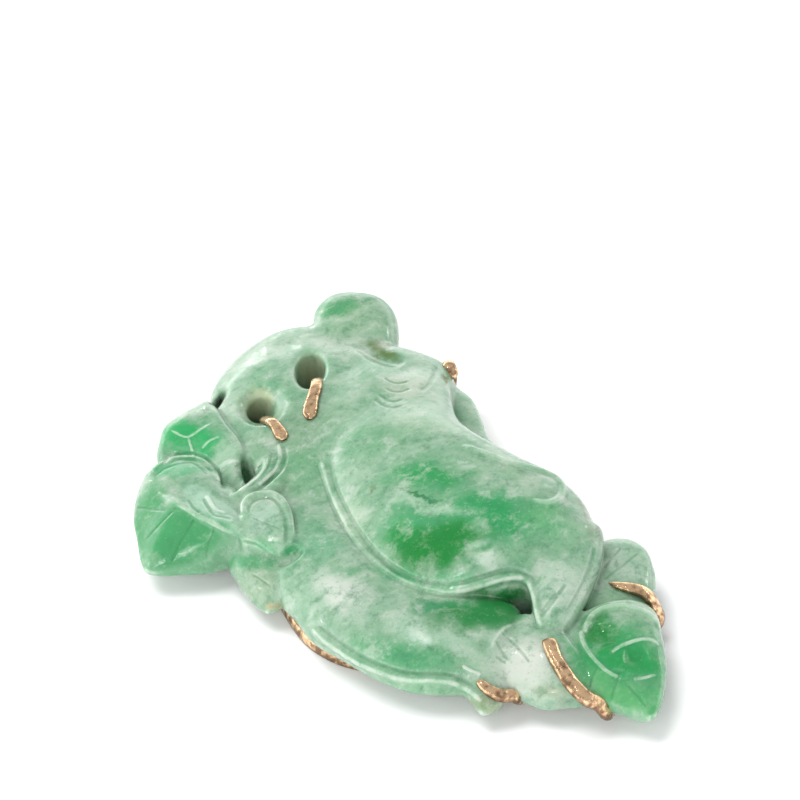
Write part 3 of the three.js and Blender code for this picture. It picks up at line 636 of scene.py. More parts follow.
# Rounded raised lines: radius, how deep the middle lies under the surface, and the pixels they run along
ROLLS = {
    "front pod's bead": (0.3, 0.05, [
        (322, 462), (326, 474), (332, 492), (345, 520), (361, 546), (381, 567), (401, 580), (421, 587),
        (441, 591), (460, 590), (480, 585), (500, 579), (516, 577), (527, 580), (533, 590), (536, 602),
        (538, 614), (542, 626)]),
    "lower pod's bead": (0.28, 0.05, [
        (312, 628), (328, 642), (342, 652), (358, 662), (376, 670), (395, 677), (414, 680), (431, 680),
        (451, 682), (462, 686), (472, 692), (482, 701)]),
    "front pod's rolled edge": (0.34, 0.1, [
        (462, 446), (480, 452), (500, 459), (516, 464), (532, 468), (546, 473), (558, 480), (563, 489),
        (560, 498), (551, 503), (540, 503), (531, 500)]),
    "nub at its end": (0.9, 0.45, [(536, 486), (545, 488), (552, 491)]),
    "end leaf's rolled edge": (0.36, 0.04, [
        (584, 634), (588, 624), (594, 615), (605, 609), (622, 607), (640, 611), (652, 618), (658, 628)]),
    "large leaf's rolled edge": (0.3, 0.02, [
        (150, 476), (160, 466), (175, 459), (192, 457), (204, 462), (213, 471), (218, 482)]),
    "upper leaf's rolled edge": (0.24, 0.1, [(219, 472), (224, 466), (231, 462), (238, 460)]),
    "curled leaf's rim": (0.26, 0.1, [
        (243, 512), (244, 503), (250, 496), (260, 493), (272, 493), (281, 498), (288, 508), (291, 522),
        (292, 537), (288, 549)]),
    "pale leaf's edge": (0.24, 0.12, [(513, 624), (503, 629), (495, 638), (491, 648)]),
}

# Deep recesses: radius, how deep the middle lies under the surface, and the pixels they run along
TRENCHES = {
    "beside the curled leaf": (0.5, 0.0, [(281, 563), (288, 558), (295, 553), (300, 550)]),
}

# Strokes of the carver's wheel, along lines of the photograph: half width, depth and pixels.
# A negative depth leaves a ridge between strokes.
STROKES = {
    # Broad hollows
    "end leaf, upper hollow": (0.95, 0.42, [(598, 624), (601, 634), (608, 646)]),
    "end leaf, lower hollow": (0.85, 0.38, [(624, 655), (636, 656), (648, 654)]),
    "end leaf, foot": (1.3, 0.2, [(600, 682), (622, 694), (640, 690)]),
    "large leaf, channel": (0.9, 0.22, [(166, 484), (184, 492), (200, 503)]),
    "upper leaf, hollow": (1.3, 0.22, [(176, 434), (190, 446), (206, 456)]),
    "beside the rolled edge": (0.8, 0.12, [(482, 468), (505, 478), (528, 487)]),
    "side leaf, hollow": (1.1, 0.15, [(612, 562), (630, 566), (644, 572)]),
    "pale leaf, hollow": (1.0, 0.14, [(512, 652), (524, 668), (536, 684)]),
    "under the knob": (0.75, 0.6, [(359, 342), (368, 349), (379, 355), (391, 360), (404, 364)]),
    "body, above the holes": (1.6, 0.18, [(268, 350), (285, 344), (300, 340)]),
    "body, beside the calyx": (1.5, 0.16, [(350, 352), (346, 372), (352, 396)]),
    # Front pod
    "front pod, bead groove": (0.16, 0.18, [
        (330, 458), (336, 487), (350, 516), (366, 541), (385, 561), (405, 574), (424, 581), (442, 584),
        (460, 583), (480, 578), (500, 572), (518, 571), (533, 578)]),
    "lower pod, bead groove": (0.15, 0.16, [
        (316, 623), (332, 636), (346, 646), (362, 656), (380, 664), (398, 670), (416, 673), (433, 673),
        (452, 675), (464, 680), (474, 687)]),
    "tail line, outer": (0.13, 0.22, [(566, 584), (553, 601), (541, 617)]),
    "tail line, inner": (0.12, 0.16, [(556, 592), (548, 603), (541, 612)]),
    "tail, right border": (0.2, 0.16, [(594, 545), (590, 565), (580, 588), (566, 612)]),
    "calyx, first arc": (0.14, 0.18, [(374, 398), (382, 404), (392, 407), (403, 405)]),
    "calyx, second arc": (0.13, 0.18, [(378, 393), (386, 399), (394, 401), (403, 399)]),
    "calyx, third arc": (0.13, 0.16, [(384, 377), (390, 381), (398, 383), (408, 381)]),
    "calyx, fourth arc": (0.13, 0.15, [(386, 388), (393, 391), (402, 391), (410, 388)]),
    "calyx, fold": (0.2, 0.19, [(436, 366), (434, 375), (428, 384), (420, 391)]),
    # Large leaf
    "large leaf, under its rolled edge": (0.14, 0.22, [
        (154, 471), (162, 463), (176, 455), (192, 453), (206, 458), (216, 467), (221, 478)]),
    "large leaf, within its rolled edge": (0.12, 0.14, [
        (156, 476), (164, 469), (177, 464), (191, 462), (201, 467), (208, 475)]),
    "large leaf, edge vein": (0.08, 0.14, [(136, 508), (150, 509), (166, 511)]),
    "large leaf, left vein": (0.08, 0.09, [(178, 507), (160, 524), (146, 540)]),
    "large leaf, middle vein": (0.08, 0.12, [(196, 517), (184, 536), (175, 553), (171, 562)]),
    "large leaf, right vein": (0.08, 0.08, [(215, 526), (208, 545), (206, 558)]),
    "large leaf, first fold": (0.12, 0.16, [(188, 499), (193, 507), (200, 513)]),
    "large leaf, crest": (0.3, -0.21, [(158, 492), (174, 502), (192, 513), (214, 524), (236, 536)]),
    "large leaf, second fold": (0.14, 0.22, [(203, 498), (208, 507), (214, 514), (222, 516), (232, 519)]),
    "large leaf, fold's lip": (0.14, -0.21, [(206, 496), (212, 505), (218, 511), (226, 513)]),
    # Upper leaf
    "upper leaf, mid vein": (0.09, -0.14, [(188, 437), (191, 447), (194, 457)]),
    "upper leaf, left vein": (0.09, -0.12, [(165, 427), (176, 433), (188, 437), (200, 430), (212, 423)]),
    "upper leaf, right vein": (0.09, -0.12, [(202, 449), (210, 441), (220, 437)]),
    # Curled leaf and the leaf under it
    "curled leaf, inner arc": (0.14, 0.18, [
        (248, 514), (250, 505), (258, 499), (270, 498), (279, 505), (284, 516), (286, 530), (285, 543)]),
    "curled leaf, middle line": (0.07, 0.11, [(251, 517), (265, 523), (280, 529)]),
    "curled leaf, lower edge": (0.11, 0.14, [(242, 541), (254, 543), (264, 549), (276, 558)]),
    "under leaf, vein": (0.1, 0.11, [(252, 574), (262, 580), (272, 588)]),
    "stalk, right groove": (0.14, 0.22, [(283, 445), (285, 458), (281, 469), (272, 479), (263, 486)]),
    "stalk, left groove": (0.13, 0.19, [(262, 464), (254, 476), (244, 483), (234, 489)]),
    "stalk, right ridge": (0.13, -0.18, [(278, 443), (280, 457), (276, 468), (267, 478), (258, 486)]),
    "stalk, left ridge": (0.12, -0.15, [(268, 462), (260, 475), (249, 484), (238, 491)]),
    "stalk, middle groove": (0.12, 0.16, [(272, 452), (268, 466), (259, 477), (248, 487)]),
    # Lower pod
    "lower pod, soft ridge": (0.9, -0.14, [
        (306, 582), (340, 592), (370, 602), (400, 616), (436, 638), (470, 660)]),
    "lower pod, stub line": (0.12, -0.15, [(462, 666), (472, 671), (481, 675)]),
    # Leaves at the end
    "pale leaf, long vein": (0.11, 0.14, [(502, 632), (512, 641), (522, 652), (530, 663)]),
    "pale leaf, second vein": (0.10, 0.11, [(496, 640), (500, 648), (508, 660)]),
    "pale leaf, short vein": (0.10, 0.11, [(496, 656), (501, 660), (506, 663)]),
    "end leaf, left vein": (0.16, -0.24, [(580, 630), (583, 643), (592, 657), (606, 671), (621, 679)]),
    "end leaf, mid vein": (0.15, -0.22, [(611, 653), (622, 646), (636, 641), (650, 640), (659, 646)]),
    "end leaf, low vein": (0.12, -0.18, [(633, 680), (645, 678), (656, 675)]),
    "end leaf, first dark vein": (0.08, 0.12, [(621, 670), (616, 684), (611, 700)]),
    "end leaf, second dark vein": (0.08, 0.12, [(626, 684), (638, 696), (647, 708)]),
    "end leaf, third dark vein": (0.08, 0.09, [(597, 668), (592, 678), (590, 688)]),
    "side leaf, first line": (0.12, 0.09, [(590, 579), (606, 566), (622, 547)]),
    "side leaf, second line": (0.12, 0.08, [(604, 580), (622, 566), (640, 552)]),
}

# Fine notches cut across the rim of the valve behind the front pod, between these pixels
NOTCHES = {"from": (577, 488), "to": (600, 535), "bow": (6.0, -2.0), "count": 15, "length": (-5, 3)}
NOTCH_WIDTH = 0.07
NOTCH_DEPTH = 0.08
NOTCH_TAPER = 0.3


def notch_rim(block):
    """Cuts the notches, in a row that bows out along the rim."""
    start, end, bow, length = (np.array(NOTCHES[key], float) for key in ("from", "to", "bow", "length"))
    for t in np.linspace(0, 1, NOTCHES["count"]):
        place = start + (end - start) * t + bow * math.sin(math.pi * t)
        stroke(block, NOTCH_WIDTH, NOTCH_DEPTH, [place, place + length], NOTCH_TAPER)


# Gold wire of the mount

# Prongs, from the tip over the jade to the foot on the frame: x, y, z, width and thickness
PRONGS = {
    "left hole": [
        (-3.7, 11.3, 6.2, 0.95, 0.5), (-3.7, 12.0, 6.3, 1.15, 0.6), (-3.7, 13.0, 6.4, 0.95, 0.6),
        (-3.8, 14.1, 6.2, 0.95, 0.6), (-3.8, 15.1, 5.6, 0.95, 0.65), (-3.5, 16.6, 4.0, 0.9, 0.7),
        (-3.2, 17.9, 2.2, 0.9, 0.8), (-3.0, 18.7, 0.6, 0.9, 0.8)],
    "right hole": [
        (-1.1, 12.2, 6.7, 1.0, 0.5), (-0.6, 13.1, 6.8, 1.2, 0.6), (0.1, 14.2, 6.9, 1.0, 0.65),
        (0.9, 15.3, 7.0, 1.0, 0.65), (1.8, 16.6, 6.5, 0.95, 0.7), (2.6, 18.1, 4.8, 0.9, 0.7),
        (3.0, 19.3, 2.4, 0.9, 0.8), (3.1, 19.9, 0.6, 0.9, 0.8)],
    "behind": [
        (12.7, 13.9, 5.2, 0.8, 0.5), (12.8, 14.5, 5.6, 1.0, 0.6), (12.9, 15.2, 5.8, 1.05, 0.7),
        (13.3, 15.9, 5.0, 1.0, 0.7), (13.5, 16.3, 3.2, 1.0, 0.7), (13.0, 16.0, 1.4, 1.0, 0.8),
        (11.6, 15.0, 0.6, 1.0, 0.8)],
    "side leaf": [
        (13.3, -13.2, 4.9, 0.16, 0.2), (13.8, -13.6, 4.8, 0.6, 0.45), (14.5, -14.1, 4.6, 0.95, 0.6),
        (15.4, -14.6, 4.2, 1.15, 0.7), (16.1, -15.2, 3.6, 1.2, 0.75), (16.5, -15.8, 2.6, 1.2, 0.8),
        (16.4, -15.9, 1.3, 1.15, 0.8), (15.3, -15.4, 0.6, 1.1, 0.8), (13.9, -14.6, 0.6, 1.1, 0.8)],
    "end leaf": [
        (5.9, -17.4, 5.2, 0.9, 0.5), (5.8, -18.0, 5.3, 1.2, 0.8), (5.6, -19.3, 5.0, 1.15, 0.85),
        (5.7, -20.6, 4.6, 1.2, 0.85), (5.9, -22.0, 4.1, 1.25, 0.85), (6.4, -23.0, 3.5, 1.25, 0.85),
        (7.2, -23.6, 2.8, 1.2, 0.8), (8.1, -23.6, 1.9, 1.1, 0.75), (8.8, -22.9, 1.1, 1.1, 0.75),
        (9.1, -21.7, 0.6, 1.1, 0.8), (9.1, -20.4, 0.6, 1.1, 0.8)],
    "lower pod end": [
        (-0.2, -17.9, 3.6, 0.5, 0.4), (-0.2, -18.3, 3.6, 0.75, 0.6), (0.3, -19.0, 3.2, 0.95, 0.7),
        (0.9, -19.5, 3.0, 1.05, 0.75), (1.7, -19.7, 2.6, 1.05, 0.75), (2.6, -19.4, 2.0, 0.85, 0.6),
        (3.1, -18.6, 1.1, 0.85, 0.65), (3.2, -17.7, 0.6, 0.9, 0.8), (3.1, -16.9, 0.6, 0.9, 0.8)],
}
PRONG_REST = 0.32                             # height of a prong's middle over the jade, of its thickness
PRONG_HOLD = 0.35                             # how near the jade a prong has to be to be pressed on to it
PRONG_SMOOTHINGS = 2                          # passes that even a prong out once it is pressed on
TIP_SIZE = 0.45                               # size of a prong's very end, of its full size
TIP_ROWS = 3                                  # rows over which a rounded tip grows to full size

WIRE_WIDTH = 1.3
WIRE_HEIGHT = 1.05
WIRE_SIDE = 0.3                               # height of the wire's upright sides, of the whole
WIRE_CROWN = 0.8                              # below 1 the wire's top is fuller than a round
WIRE_CORNER = 0.08
FRAME_LOOP = [
    (11.2, 14.6), (11.4, 9.5), (11.0, 4.5), (12.2, -1.5), (13.0, -6.5), (13.4, -11.0), (13.8, -15.0),
    (12.6, -18.6), (10.6, -20.6), (8.4, -20.0), (5.8, -18.6), (3.2, -17.0), (1.3, -14.4), (-0.8, -12.5),
    (-3.4, -11.1), (-5.6, -9.8), (-7.4, -8.0), (-8.5, -5.7), (-8.8, -3.3), (-8.7, 0.0), (-8.5, 4.0),
    (-8.3, 8.5), (-7.6, 13.0), (-6.0, 17.4), (-3.0, 21.2), (1.2, 23.0), (5.2, 22.2), (8.8, 19.6),
    (10.6, 17.0),
]
CROSS_BARS = [
    [(-5.2, 18.8), (-3.0, 18.7), (0.0, 19.4), (3.1, 19.9), (6.0, 19.9), (8.9, 19.5)],
    [(-7.4, -8.0), (-3.0, -9.2), (3.0, -9.6), (8.6, -9.4), (13.2, -8.6)],
]


def flattened_round(width, height, sides=20, fullness=2.6):
    """Section of a drawn wire pressed flat between the pliers."""
    angle = np.arange(sides) / sides * 2 * np.pi
    x, y = np.cos(angle), np.sin(angle)
    return np.stack((np.sign(x) * np.abs(x) ** (2 / fullness) * width / 2,
                     np.sign(y) * np.abs(y) ** (2 / fullness) * height / 2), -1)


def half_round(sides=9):
    """Section of the frame wire, flat below, with small rounded corners."""
    angle = np.linspace(0, np.pi, sides)
    arch = WIRE_SIDE + (1 - WIRE_SIDE) * np.sin(angle) ** WIRE_CROWN
    top = np.stack((np.cos(angle) * WIRE_WIDTH / 2, arch * WIRE_HEIGHT), -1)
    side = WIRE_WIDTH / 2
    foot = side - WIRE_CORNER
    return np.vstack((top, [(-side, WIRE_CORNER), (-foot, 0), (foot, 0), (side, WIRE_CORNER)]))


def wire_rings(route, endless=False):
    """Rings of the frame wire, lying on the table along a route."""
    rows = smooth_rows(route, WIRE_STEPS, endless)
    path = np.column_stack((rows, np.zeros(len(rows))))
    section = half_round()
    if not endless:
        return tube_rings(path, lambda i: section)
    ahead = np.roll(path, -1, 0) - np.roll(path, 1, 0)
    side = np.cross((0, 0, 1), ahead)
    side /= np.linalg.norm(side, axis=1, keepdims=True)
    across = section[None, :, :1] * side[:, None]
    return path[:, None] + across + section[None, :, 1:] * np.array((0, 0, 1.0))


def rest_on(block, path, lift):
    """Moves the points of a path that are near the jade's surface to lie this far above it."""
    places = path - SHEET_MIDDLE
    gap = sample(block, places)
    near = np.clip(2 - np.abs(gap - lift) / PRONG_HOLD, 0, 1)
    return path + surface_normals(block, places) * ((lift - gap) * near)[:, None]


def prong_rings(block, rows):
    """Rings of one prong, pressed on to the jade and with a rounded tip."""
    rows = smooth_rows(rows, WIRE_STEPS)
    path = rest_on(block, rows[:, :3], rows[:, 4] * PRONG_REST)
    for _ in range(PRONG_SMOOTHINGS):
        path[1:-1] = (path[:-2] + 2 * path[1:-1] + path[2:]) / 4
    rounding = np.minimum(1, TIP_SIZE + (1 - TIP_SIZE) * np.arange(len(rows)) / TIP_ROWS)
    sizes = rows[:, 3:5] * rounding[:, None]
    return tube_rings(path, lambda i: flattened_round(*sizes[i]))


def gold_piece(block):
    """All the wire of the mount as one piece."""
    meshes = [skin(wire_rings(FRAME_LOOP, True), True)]
    meshes += [skin(wire_rings(route)) for route in CROSS_BARS]
    meshes += [skin(prong_rings(block, rows)) for rows in PRONGS.values()]
    points = []
    triangles = []
    count = 0
    for mesh_points, quads, fans in meshes:
        points.append(mesh_points)
        triangles += [quads[:, [0, 1, 2]] + count, quads[:, [0, 2, 3]] + count, fans + count]
        count += len(mesh_points)
    return object_from("gold_wire_mount", np.vstack(points) - SHEET_MIDDLE, np.vstack(triangles))


# Finishes

def linear(hex_colour):
    """sRGB hex to the linear colour that a shader takes."""
    parts = [int(hex_colour[i:i + 2], 16) / 255 for i in (1, 3, 5)]
    parts = [c / 12.92 if c <= 0.04045 else ((c + 0.055) / 1.055) ** 2.4 for c in parts]
    return (*parts, 1.0)


def feed(tree, made, inputs):
    """Gives a node's inputs their values. One that is another node's output is linked."""
    for name, value in dict(inputs).items():
        if isinstance(value, bpy.types.NodeSocket):
            tree.links.new(value, made.inputs[name])
        else:
            made.inputs[name].default_value = value


def node(tree, kind, out, inputs=(), **settings):
    """Adds a node with its inputs and settings, and gives back its output called out."""
    made = tree.nodes.new("ShaderNode" + kind)
    for name, value in settings.items():
        setattr(made, name, value)
    feed(tree, made, inputs)
    return made.outputs[out]


def bare_material(name):
    """A new material with its node tree and its surface shader."""
    material = bpy.data.materials.new(name)
    material.use_nodes = True
    return material, material.node_tree, material.node_tree.nodes["Principled BSDF"]


# The Mix node's colour sockets, which share their names with others
MIX_AMOUNT = 0
MIX_BELOW = 6
MIX_ABOVE = 7
MIX_RESULT = 2

# Clouds of colour in the stone, and a few of painted shade, in the order they lie over each other: the
# pixel at the middle, half length and half width in pixels, turn in degrees, colour and strength
CLOUDS = {
    # Body and stem end
    "grey body": ((300, 430), 60, 40, 60, "#98b79a", 0.6),
    "pale shoulder": ((262, 352), 40, 22, 30, "#c8dcc8", 0.7),
    "green shoulder": ((256, 372), 18, 8, 40, "#8fbf9a", 0.6),
    "pale below the knob": ((345, 345), 45, 14, -8, "#d6e4d4", 0.7),
    "knob": ((360, 318), 40, 24, 0, "#bcd4bb", 0.7),
    "knob's green": ((338, 307), 24, 8, 5, "#63ad78", 0.85),
    "knob's dark spot": ((368, 301), 7, 4, 0, "#5d9a6c", 0.6),
    # Painted shade: an olive darkening in the crevice under the knob
    "painted shade in the knob's crevice": ((381, 353), 20, 6, -24, "#6d8753", 1.0),
    "calyx": ((412, 385), 30, 22, -10, "#ccd8c4", 0.7),
    "teal neck": ((300, 470), 26, 44, 0, "#7fb58b", 0.6),
    # The valve's grey-green is partly its own colour and partly painted shade on this side, which faces
    # away from the light; at its edge under the pod the darker grey is painted shade
    "valve": ((505, 425), 60, 24, -55, "#8d9a80", 0.9),
    "painted shade at the valve's edge": ((475, 402), 10, 26, 10, "#7f8a6e", 0.6),
    # Front pod
    "pod's upper end": ((430, 420), 50, 30, 20, "#b4d2b6", 0.75),
    "pod's left": ((368, 440), 34, 28, 0, "#86ba93", 0.6),
    "pod's white left": ((352, 520), 46, 18, -52, "#c3dbc3", 0.85),
    "pod's green": ((444, 522), 92, 46, -10, "#4fae72", 0.85),
    "pod's upper green": ((424, 474), 52, 17, -6, "#2aa45f", 0.9),
    "pod's right green": ((496, 512), 48, 22, -30, "#3fa568", 0.9),
    "pod's deep green": ((438, 545), 48, 23, 12, "#008c42", 1.0),
    "pod's deep left": ((402, 538), 20, 14, 20, "#149c50", 0.85),
    "pod's white band": ((428, 505), 40, 7, -8, "#c9e3cd", 0.7),
    "pod's far right": ((548, 520), 34, 20, -30, "#7cc08d", 0.7),
    "pod's low green": ((428, 578), 74, 8, -6, "#6fbd8a", 0.7),
    "pod's white spot": ((484, 560), 17, 9, -15, "#dcedde", 0.9),
    "pod's second spot": ((477, 528), 14, 8, -30, "#b3dabd", 0.7),
    "pod's pale rim": ((440, 594), 70, 6, -4, "#b9d6bb", 0.6),
    # The grey on the outer rim is partly its own colour and partly painted shade on this edge, which
    # faces away from the light
    "pod's outer rim, partly painted shade": ((592, 520), 10, 34, 20, "#94a98b", 0.85),
    "rolled edge": ((520, 472), 40, 9, -25, "#b7d0b8", 0.6),
    "tail": ((562, 590), 34, 26, 55, "#d6e6d7", 0.8),
    "olive stain": ((371, 485), 8, 4, 40, "#6f8f5f", 0.75),
    "dark flaw": ((424, 494), 20, 2.5, -6, "#1d7f47", 0.8),
    # Leaves on the left
    "upper leaf": ((190, 440), 40, 22, -25, "#60b880", 1.0),
    "upper leaf's deep": ((184, 436), 30, 14, -25, "#45b671", 1.0),
    "upper leaf's pale": ((228, 458), 14, 20, -20, "#bddbc2", 1.0),
    "large leaf": ((174, 536), 62, 48, -10, "#5fab77", 1.0),
    "large leaf's left": ((143, 518), 14, 48, 0, "#3c9c5c", 1.0),
    "large leaf's top": ((178, 468), 34, 8, -8, "#6fbe8d", 1.0),
    "large leaf's pale": ((208, 505), 40, 12, -34, "#cdead6", 1.0),
    "curled leaf": ((264, 516), 20, 18, 0, "#cfe9d6", 0.8),
    "curled leaf's foot": ((268, 545), 18, 10, -20, "#86c99c", 0.8),
    "under leaf": ((252, 588), 24, 28, 0, "#afc5ac", 0.8),
    "under leaf's green": ((252, 562), 26, 9, -12, "#6ab080", 0.85),
    "under leaf's tan tip": ((272, 609), 10, 7, 20, "#c6bf9a", 0.8),
    "green notch": ((290, 556), 12, 8, 0, "#36985f", 0.9),
    # Lower pod
    "teal beside the notch": ((318, 545), 26, 28, 0, "#84bb98", 0.8),
    "lower pod's white": ((338, 590), 44, 16, -32, "#ecf4ea", 0.95),
    "lower pod's grey": ((330, 628), 40, 12, -38, "#a9c9b0", 0.7),
    "lower pod's belly": ((400, 652), 64, 16, -16, "#6db384", 0.85),
    "lower pod's pale": ((430, 632), 46, 9, -28, "#c8e2cd", 0.75),
    "lower pod's deep": ((480, 613), 50, 17, 14, "#0f8c48", 1.0),
    "lower pod's valley": ((500, 597), 24, 9, 10, "#0f8040", 1.0),
    "lower pod's deep left": ((440, 606), 30, 8, 0, "#4a9f6d", 0.8),
    "lower pod's rim": ((420, 685), 70, 6, -8, "#9dcba5", 0.7),
    "stub": ((489, 702), 16, 12, 30, "#a5b28f", 0.9),
    # Leaves at the end
    "pale leaf": ((528, 664), 40, 34, -30, "#f0f5ec", 0.95),
    "pale leaf's foot": ((548, 692), 20, 10, -5, "#c9d3bd", 0.8),
    "side leaf": ((625, 562), 34, 22, -20, "#c3dbc8", 0.85),
    "side leaf's green": ((640, 556), 12, 12, 0, "#9fc6a4", 0.6),
    "end leaf": ((618, 655), 56, 50, -40, "#48a96b", 1.0),
    "end leaf's top": ((606, 603), 40, 9, 8, "#a3ccaa", 1.0),
    "end leaf's upper hollow": ((600, 634), 20, 17, -60, "#009044", 1.0),
    "end leaf's lower hollow": ((634, 657), 26, 11, -8, "#12a258", 1.0),
    "end leaf's foot": ((614, 692), 34, 14, -20, "#76bd84", 1.0),
    "end leaf's tip": ((650, 704), 14, 16, 0, "#6ab97f", 1.0),
    # Holes and notches: an olive tint in the two pierced holes, darker green as painted shade in the leaf
    # notch and near-black as painted shade in the small pierced hole at the edge
    "left hole": ((258, 404), 17, 14, -30, "#ccdab8", 1.0),
    "right hole": ((312, 374), 16, 14, -40, "#dce8c8", 1.0),
    "painted shade in the leaf notch": ((248, 474), 8, 12, 0, "#3f7a4a", 0.9),
    "painted shade in the edge hole": ((218, 402), 10, 8, 0, "#2c3326", 1.0),
}
STONE_TONE = 0.6
STONE_VIVID = 1.25
STONE_LEAST = 0.004
CLOUD_DEPTH = 2.6                             # half depth of a cloud along the line of sight
CLOUD_EDGE = (1.4, 0.3)                       # where a cloud starts and is full, in its own half sizes
SHOW_THROUGH = 0.55                           # strength of the second layer of the strongest clouds

# Patterns in the stone: size of their clumps in millimetres, detail, roughness and the place in the
# noise that they are taken from. Real grains are about 0.1 to 0.5 mm across, and the coarse ones show.
PATTERNS = {
    "ground": (3.2, 4, 0.6, 4),
    "drifts": (2.4, 5, 0.62, 9),
    "clusters": (1.4, 7, 0.74, 5),
    "grains": (0.45, 3, 0.7, 7),
}
NOISE_STEP = np.array((7.3, 3.1, 1.0))
WANDER_SIZE = 4.2
WANDER_REACH = 4.2                            # how far noise pushes a cloud's edge about, in all
DRIFT_TURN = (0.3, 0.2, 0.6)
DRIFT_STRETCH = (1.0, 1.8, 1.0)

GROUND_COLOUR = "#98c0a2"
# Colours all through the stone: the pattern, where in it they start and are full, colour and strength
GROUND = ("ground", 0.35, 0.65, "#b4d0b8", 1.0)
DRIFTS_AND_GRAINS = [
    ("drifts", 0.5, 0.7, "#e3ece1", 0.5),
    ("drifts", 0.5, 0.32, "#5b9c77", 0.42),
    ("clusters", 0.53, 0.7, "#e6ede4", 0.45),
    ("clusters", 0.49, 0.3, "#3a8459", 0.5),
    ("grains", 0.58, 0.76, "#edf2ea", 0.26),
    ("grains", 0.46, 0.28, "#46895f", 0.3),
]
LAST_GRAINS = ("grains", 0.6, 0.75, "#8fcba2", 0.16)
# Painted highlight on raised edges and painted shade in grooves, laid the same way, by how sharply the
# surface turns
EDGE_HIGHLIGHT_AND_GROOVE_SHADE = [
    ("edges", 1.4, 4.2, "#f8fcf4", 0.6),
    ("edges", -1.2, -3.6, "#4a9060", 0.4),
]
# The clusters break these up: where they start and are full, and the share left between them
EDGE_BREAKS = (0.38, 0.62, 0.35)


def stone(hex_colour):
    """The stone's own colour under its polish, from the colour it shows in a white tent."""
    parts = linear(hex_colour)[:3]
    grey = sum(parts) / 3
    return (*(STONE_TONE * max(grey + (part - grey) * STONE_VIVID, STONE_LEAST) for part in parts), 1.0)


def lay(tree, below, measure, start, full, tint, strength):
    """Lays a colour over what is below it, more of it as the measure runs from start to full."""
    amount = node(tree, "MapRange", "Result", {
        "Value": measure, "From Min": start, "From Max": full, "To Max": strength,
    }, interpolation_type="SMOOTHSTEP")
    return node(tree, "Mix", MIX_RESULT, {
        MIX_AMOUNT: amount, MIX_BELOW: below, MIX_ABOVE: stone(tint),
    }, data_type="RGBA")


def lay_cloud(tree, below, warped, block, cloud, share=1.0):
    """Lays one cloud of colour on the place that shows at its pixel."""
    pixel, length, width, turn, tint, strength = cloud
    turn = math.radians(turn)
    along = VIEW_RIGHT * math.cos(turn) + VIEW_UP * math.sin(turn)
    axes = Matrix((along, np.cross(VIEW_BACK, along), VIEW_BACK)).transposed()
    inside = node(tree, "Mapping", "Vector", {
        "Vector": warped,
        "Location": seen(block, pixel)[0],
        "Rotation": axes.to_euler(),
        "Scale": (length * MM_PER_PIXEL, width * MM_PER_PIXEL, CLOUD_DEPTH),
    }, vector_type="TEXTURE")
    reach = node(tree, "VectorMath", "Value", {0: inside}, operation="LENGTH")
    return lay(tree, below, reach, *CLOUD_EDGE, tint, strength * share)


